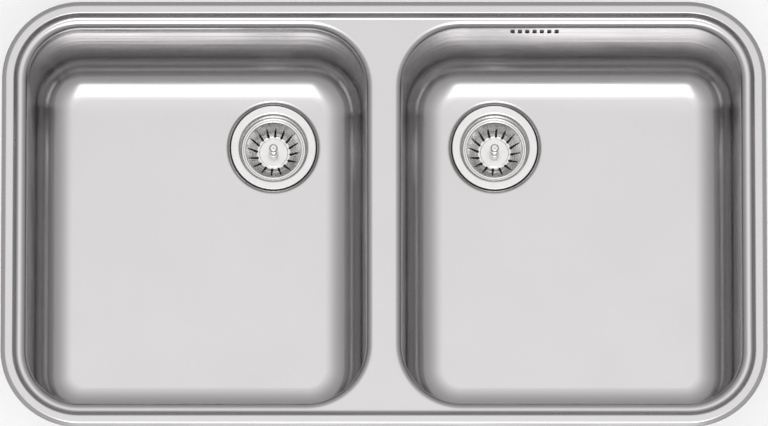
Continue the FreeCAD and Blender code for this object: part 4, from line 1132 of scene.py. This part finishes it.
class MakeStrainers(bpy.types.Operator):
    """Makes each drain's cup, slotted basket and pull knob"""

    bl_idname = "sink.strainers"
    bl_label = "Strainers"

    def execute(self, context):
        sizes = context.scene.sink_strainer
        for side, _ in SIDES:
            centre = middle(side + "_cup")
            add_piece(side + "_strainer_cup", cup(sizes, centre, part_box(side + "_cup")[1][2]),
                      "polished_steel", "sink", "strainer_steel", side + "_cup")
            add_piece(side + "_slotted_basket", basket(sizes, centre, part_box(side + "_basket")[1][2]),
                      "polished_steel", side + "_strainer", "strainer_steel", side + "_basket")
            low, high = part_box(side + "_knob")
            add_piece(side + "_pull_knob", pull_knob(sizes, centre, low[2], high[2]), "polished_steel",
                      side + "_strainer", "strainer_steel", side + "_knob")
        return {"FINISHED"}


class MakeWastes(bpy.types.Operator):
    """Makes the waste body under each drain, and the rubber stopper of each strainer"""

    bl_idname = "sink.wastes"
    bl_label = "Wastes"

    def execute(self, context):
        sizes = context.scene.sink_waste
        for side, turn in SIDES:
            centre = middle(side + "_cup")
            low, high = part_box(side + "_waste")
            body = waste_body(sizes, centre, low[2], high[2])
            if turn > 0:
                body = joined(body, inlet(sizes, centre))
            add_piece(side + "_waste_body", body, "waste_polypropylene", "sink", "waste_plastic",
                      side + "_waste")
            hole = context.scene.sink_strainer.pin
            add_piece(side + "_stopper", stopper(sizes, *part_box(side + "_plug"), centre, hole),
                      "black_rubber", side + "_strainer", "rubber", side + "_plug")
        return {"FINISHED"}


# ---- stage -----------------------------------------------------------------------------------
FLOOR_REACH = 60.0          # metres, half the floor's side
CAMERA_DISTANCE = 12.0      # metres; the photograph is taken with a long lens
CAMERA_ELEVATION = math.radians(80)
CAMERA_WIDTH = 782 * MM     # what the photograph's frame spans at the sink
CAMERA_TARGET = Vector((-0.05 * MM, 0.96 * MM, 0))
SENSOR = 36.0               # millimetres
FLOOR_ROUGHNESS = 0.9
LAMPS = (("key_lamp", 35, 20, 60, 0.6),     # tilt, turn and spread in degrees, share of the irradiance
         ("fill_lamp", 50, -150, 90, 0.4),
         ("low_lamp", 80, -60, 90, 0.25))


def studio_room(light):
    """World of a room that glows overhead, with a bright panel.

    The glow is room + glow * exp(-turn / fall), the turn being arccos z from the upright. The panel is a
    window with soft edges in the tilts atan2(x, z) across and atan2(-y, z) towards the front. Steel mirrors
    all of it: the dark low walls of the room draw the lines of the rim. The camera itself sees plain white
    where the floor ends.
    """
    world = bpy.data.worlds.new("studio_room")
    world.use_nodes = True
    tree = world.node_tree
    place = add_node(tree, "ShaderNodeTexCoord", output="Generated")
    x, y, z = (add_node(tree, "ShaderNodeSeparateXYZ", inputs={"Vector": place}, output=axis)
               for axis in "XYZ")
    calc = "ShaderNodeMath"
    turn = add_node(tree, calc, {"operation": "ARCCOSINE"}, {0: z})
    share = add_node(tree, calc, {"operation": "DIVIDE"}, {0: turn, 1: -light.glow_fall})
    fall = add_node(tree, calc, {"operation": "EXPONENT"}, {0: share})
    glow = add_node(tree, calc, {"operation": "MULTIPLY_ADD"}, {0: fall, 1: light.glow, 2: light.room})
    sideways = add_node(tree, calc, {"operation": "ARCTAN2"}, {0: x, 1: z})
    back = add_node(tree, calc, {"operation": "ARCTAN2"}, {0: y, 1: z})
    centre, reach = (light.panel_near + light.panel_far) / 2, (light.panel_far - light.panel_near) / 2
    window = light.panel
    for tilt, middle_tilt, half in ((sideways, 0.0, light.panel_half), (back, -centre, reach)):
        off = add_node(tree, calc, {"operation": "SUBTRACT"}, {0: tilt, 1: middle_tilt})
        away = add_node(tree, calc, {"operation": "ABSOLUTE"}, {0: off})
        edge = add_node(tree, "ShaderNodeMapRange", {"interpolation_type": "SMOOTHSTEP"}, {
            "Value": away, "From Min": half + light.panel_soft, "From Max": half - light.panel_soft})
        window = add_node(tree, calc, {"operation": "MULTIPLY"}, {0: window, 1: edge})
    radiance = add_node(tree, calc, {"operation": "ADD"}, {0: window, 1: glow})
    seen = add_node(tree, "ShaderNodeLightPath", output="Is Camera Ray")
    shown = add_node(tree, "ShaderNodeMix", {"data_type": "FLOAT"}, {"Factor": seen, "A": radiance, "B": 1.0})
    tree.links.new(shown, tree.nodes["Background"].inputs["Strength"])
    tree.nodes["Background"].inputs["Color"].default_value = (1, 1, 1, 1)
    bpy.context.scene.world = world


def soft_lamp(name, tilt, turn, spread, irradiance):
    """Distant soft lamp that lights matt surfaces; steel doesn't mirror it."""
    lamp = bpy.data.lights.new(name, "SUN")
    lamp.energy = irradiance
    lamp.angle = math.radians(spread)
    lamp_object = bpy.data.objects.new(name, lamp)
    lamp_object.rotation_euler = (math.radians(tilt), 0, math.radians(turn))
    lamp_object.visible_glossy = False
    bpy.context.scene.collection.objects.link(lamp_object)


def studio_floor(light, colours):
    """Pale floor below the outlets. To the camera, and in what steel mirrors of it, it glows a little."""
    low = CAD_BOX[0][2]
    side = np.linspace(-FLOOR_REACH, FLOOR_REACH, 2)
    x, y = np.meshgrid(side, side, indexing="ij")
    points, faces = stitched([np.stack([x, y, np.full_like(x, low)], axis=-1)])
    mesh = bpy.data.meshes.new("studio_floor")
    mesh.from_pydata(points.tolist(), [], faces.tolist())
    tree, shader = new_finish("matt_floor", colours.floor, FLOOR_ROUGHNESS)
    glow = 0.0
    for ray in ("Is Camera Ray", "Is Glossy Ray", "Is Transmission Ray"):
        seen = add_node(tree, "ShaderNodeLightPath", output=ray)
        glow = add_node(tree, "ShaderNodeMath", {"operation": "MAXIMUM"}, {0: seen, 1: glow})
    glow = add_node(tree, "ShaderNodeMath", {"operation": "MULTIPLY"}, {0: glow, 1: light.floor_glow})
    shader.inputs["Emission Color"].default_value = (1, 1, 1, 1)
    tree.links.new(glow, shader.inputs["Emission Strength"])
    mesh.materials.append(bpy.data.materials["matt_floor"])
    floor = bpy.data.objects.new("studio_floor", mesh)
    bpy.context.scene.collection.objects.link(floor)


def photo_camera():
    """Camera above the sink, leaning 10 degrees from the upright towards its front edge."""
    lens = bpy.data.cameras.new("camera")
    lens.sensor_width = SENSOR
    lens.lens = SENSOR * CAMERA_DISTANCE / CAMERA_WIDTH
    lens.clip_end = 4 * CAMERA_DISTANCE
    away = Vector((0, -math.cos(CAMERA_ELEVATION), math.sin(CAMERA_ELEVATION)))
    camera = bpy.data.objects.new("camera", lens)
    camera.location = CAMERA_TARGET + away * CAMERA_DISTANCE
    camera.rotation_euler = (math.pi / 2 - CAMERA_ELEVATION, 0, 0)
    bpy.context.scene.collection.objects.link(camera)
    bpy.context.scene.camera = camera


class MakeStage(bpy.types.Operator):
    """Makes the studio: room, lamps, floor and camera"""

    bl_idname = "sink.stage"
    bl_label = "Stage"

    def execute(self, context):
        light = context.scene.sink_light
        studio_room(light)
        for name, tilt, turn, spread, share in LAMPS:
            soft_lamp(name, tilt, turn, spread, light.lamp * share)
        studio_floor(light, context.scene.sink_colours)
        photo_camera()
        context.scene.view_settings.view_transform = "Standard"
        return {"FINISHED"}


# ---- panel and registration ------------------------------------------------------------------
GROUPS = {"sink_sheet": SheetSizes, "sink_slots": SlotSizes, "sink_strainer": StrainerSizes,
          "sink_waste": WasteSizes, "sink_colours": FinishColours, "sink_light": StudioLight}
OPERATORS = (MakeFinishes, MakePressedTop, MakeBowls, MakeStrainers, MakeWastes, MakeStage)


class SinkPanel(bpy.types.Panel):
    """Lists the operators in the order they run"""

    bl_idname = "VIEW3D_PT_sink"
    bl_label = "Double bowl sink"
    bl_space_type = "VIEW_3D"
    bl_region_type = "UI"
    bl_category = "Sink"

    def draw(self, context):
        for operator in OPERATORS:
            self.layout.operator(operator.bl_idname)


def register():
    for group in (*GROUPS.values(), *OPERATORS, SinkPanel):
        bpy.utils.register_class(group)
    for name, group in GROUPS.items():
        setattr(bpy.types.Scene, name, bpy.props.PointerProperty(type=group))


def unregister():
    for name in GROUPS:
        delattr(bpy.types.Scene, name)
    for group in (SinkPanel, *reversed(OPERATORS), *reversed(GROUPS.values())):
        bpy.utils.unregister_class(group)


def main():
    register()
    for operator in OPERATORS:
        group, name = operator.bl_idname.split(".")
        getattr(getattr(bpy.ops, group), name)()


if __name__ == "__main__":
    main()
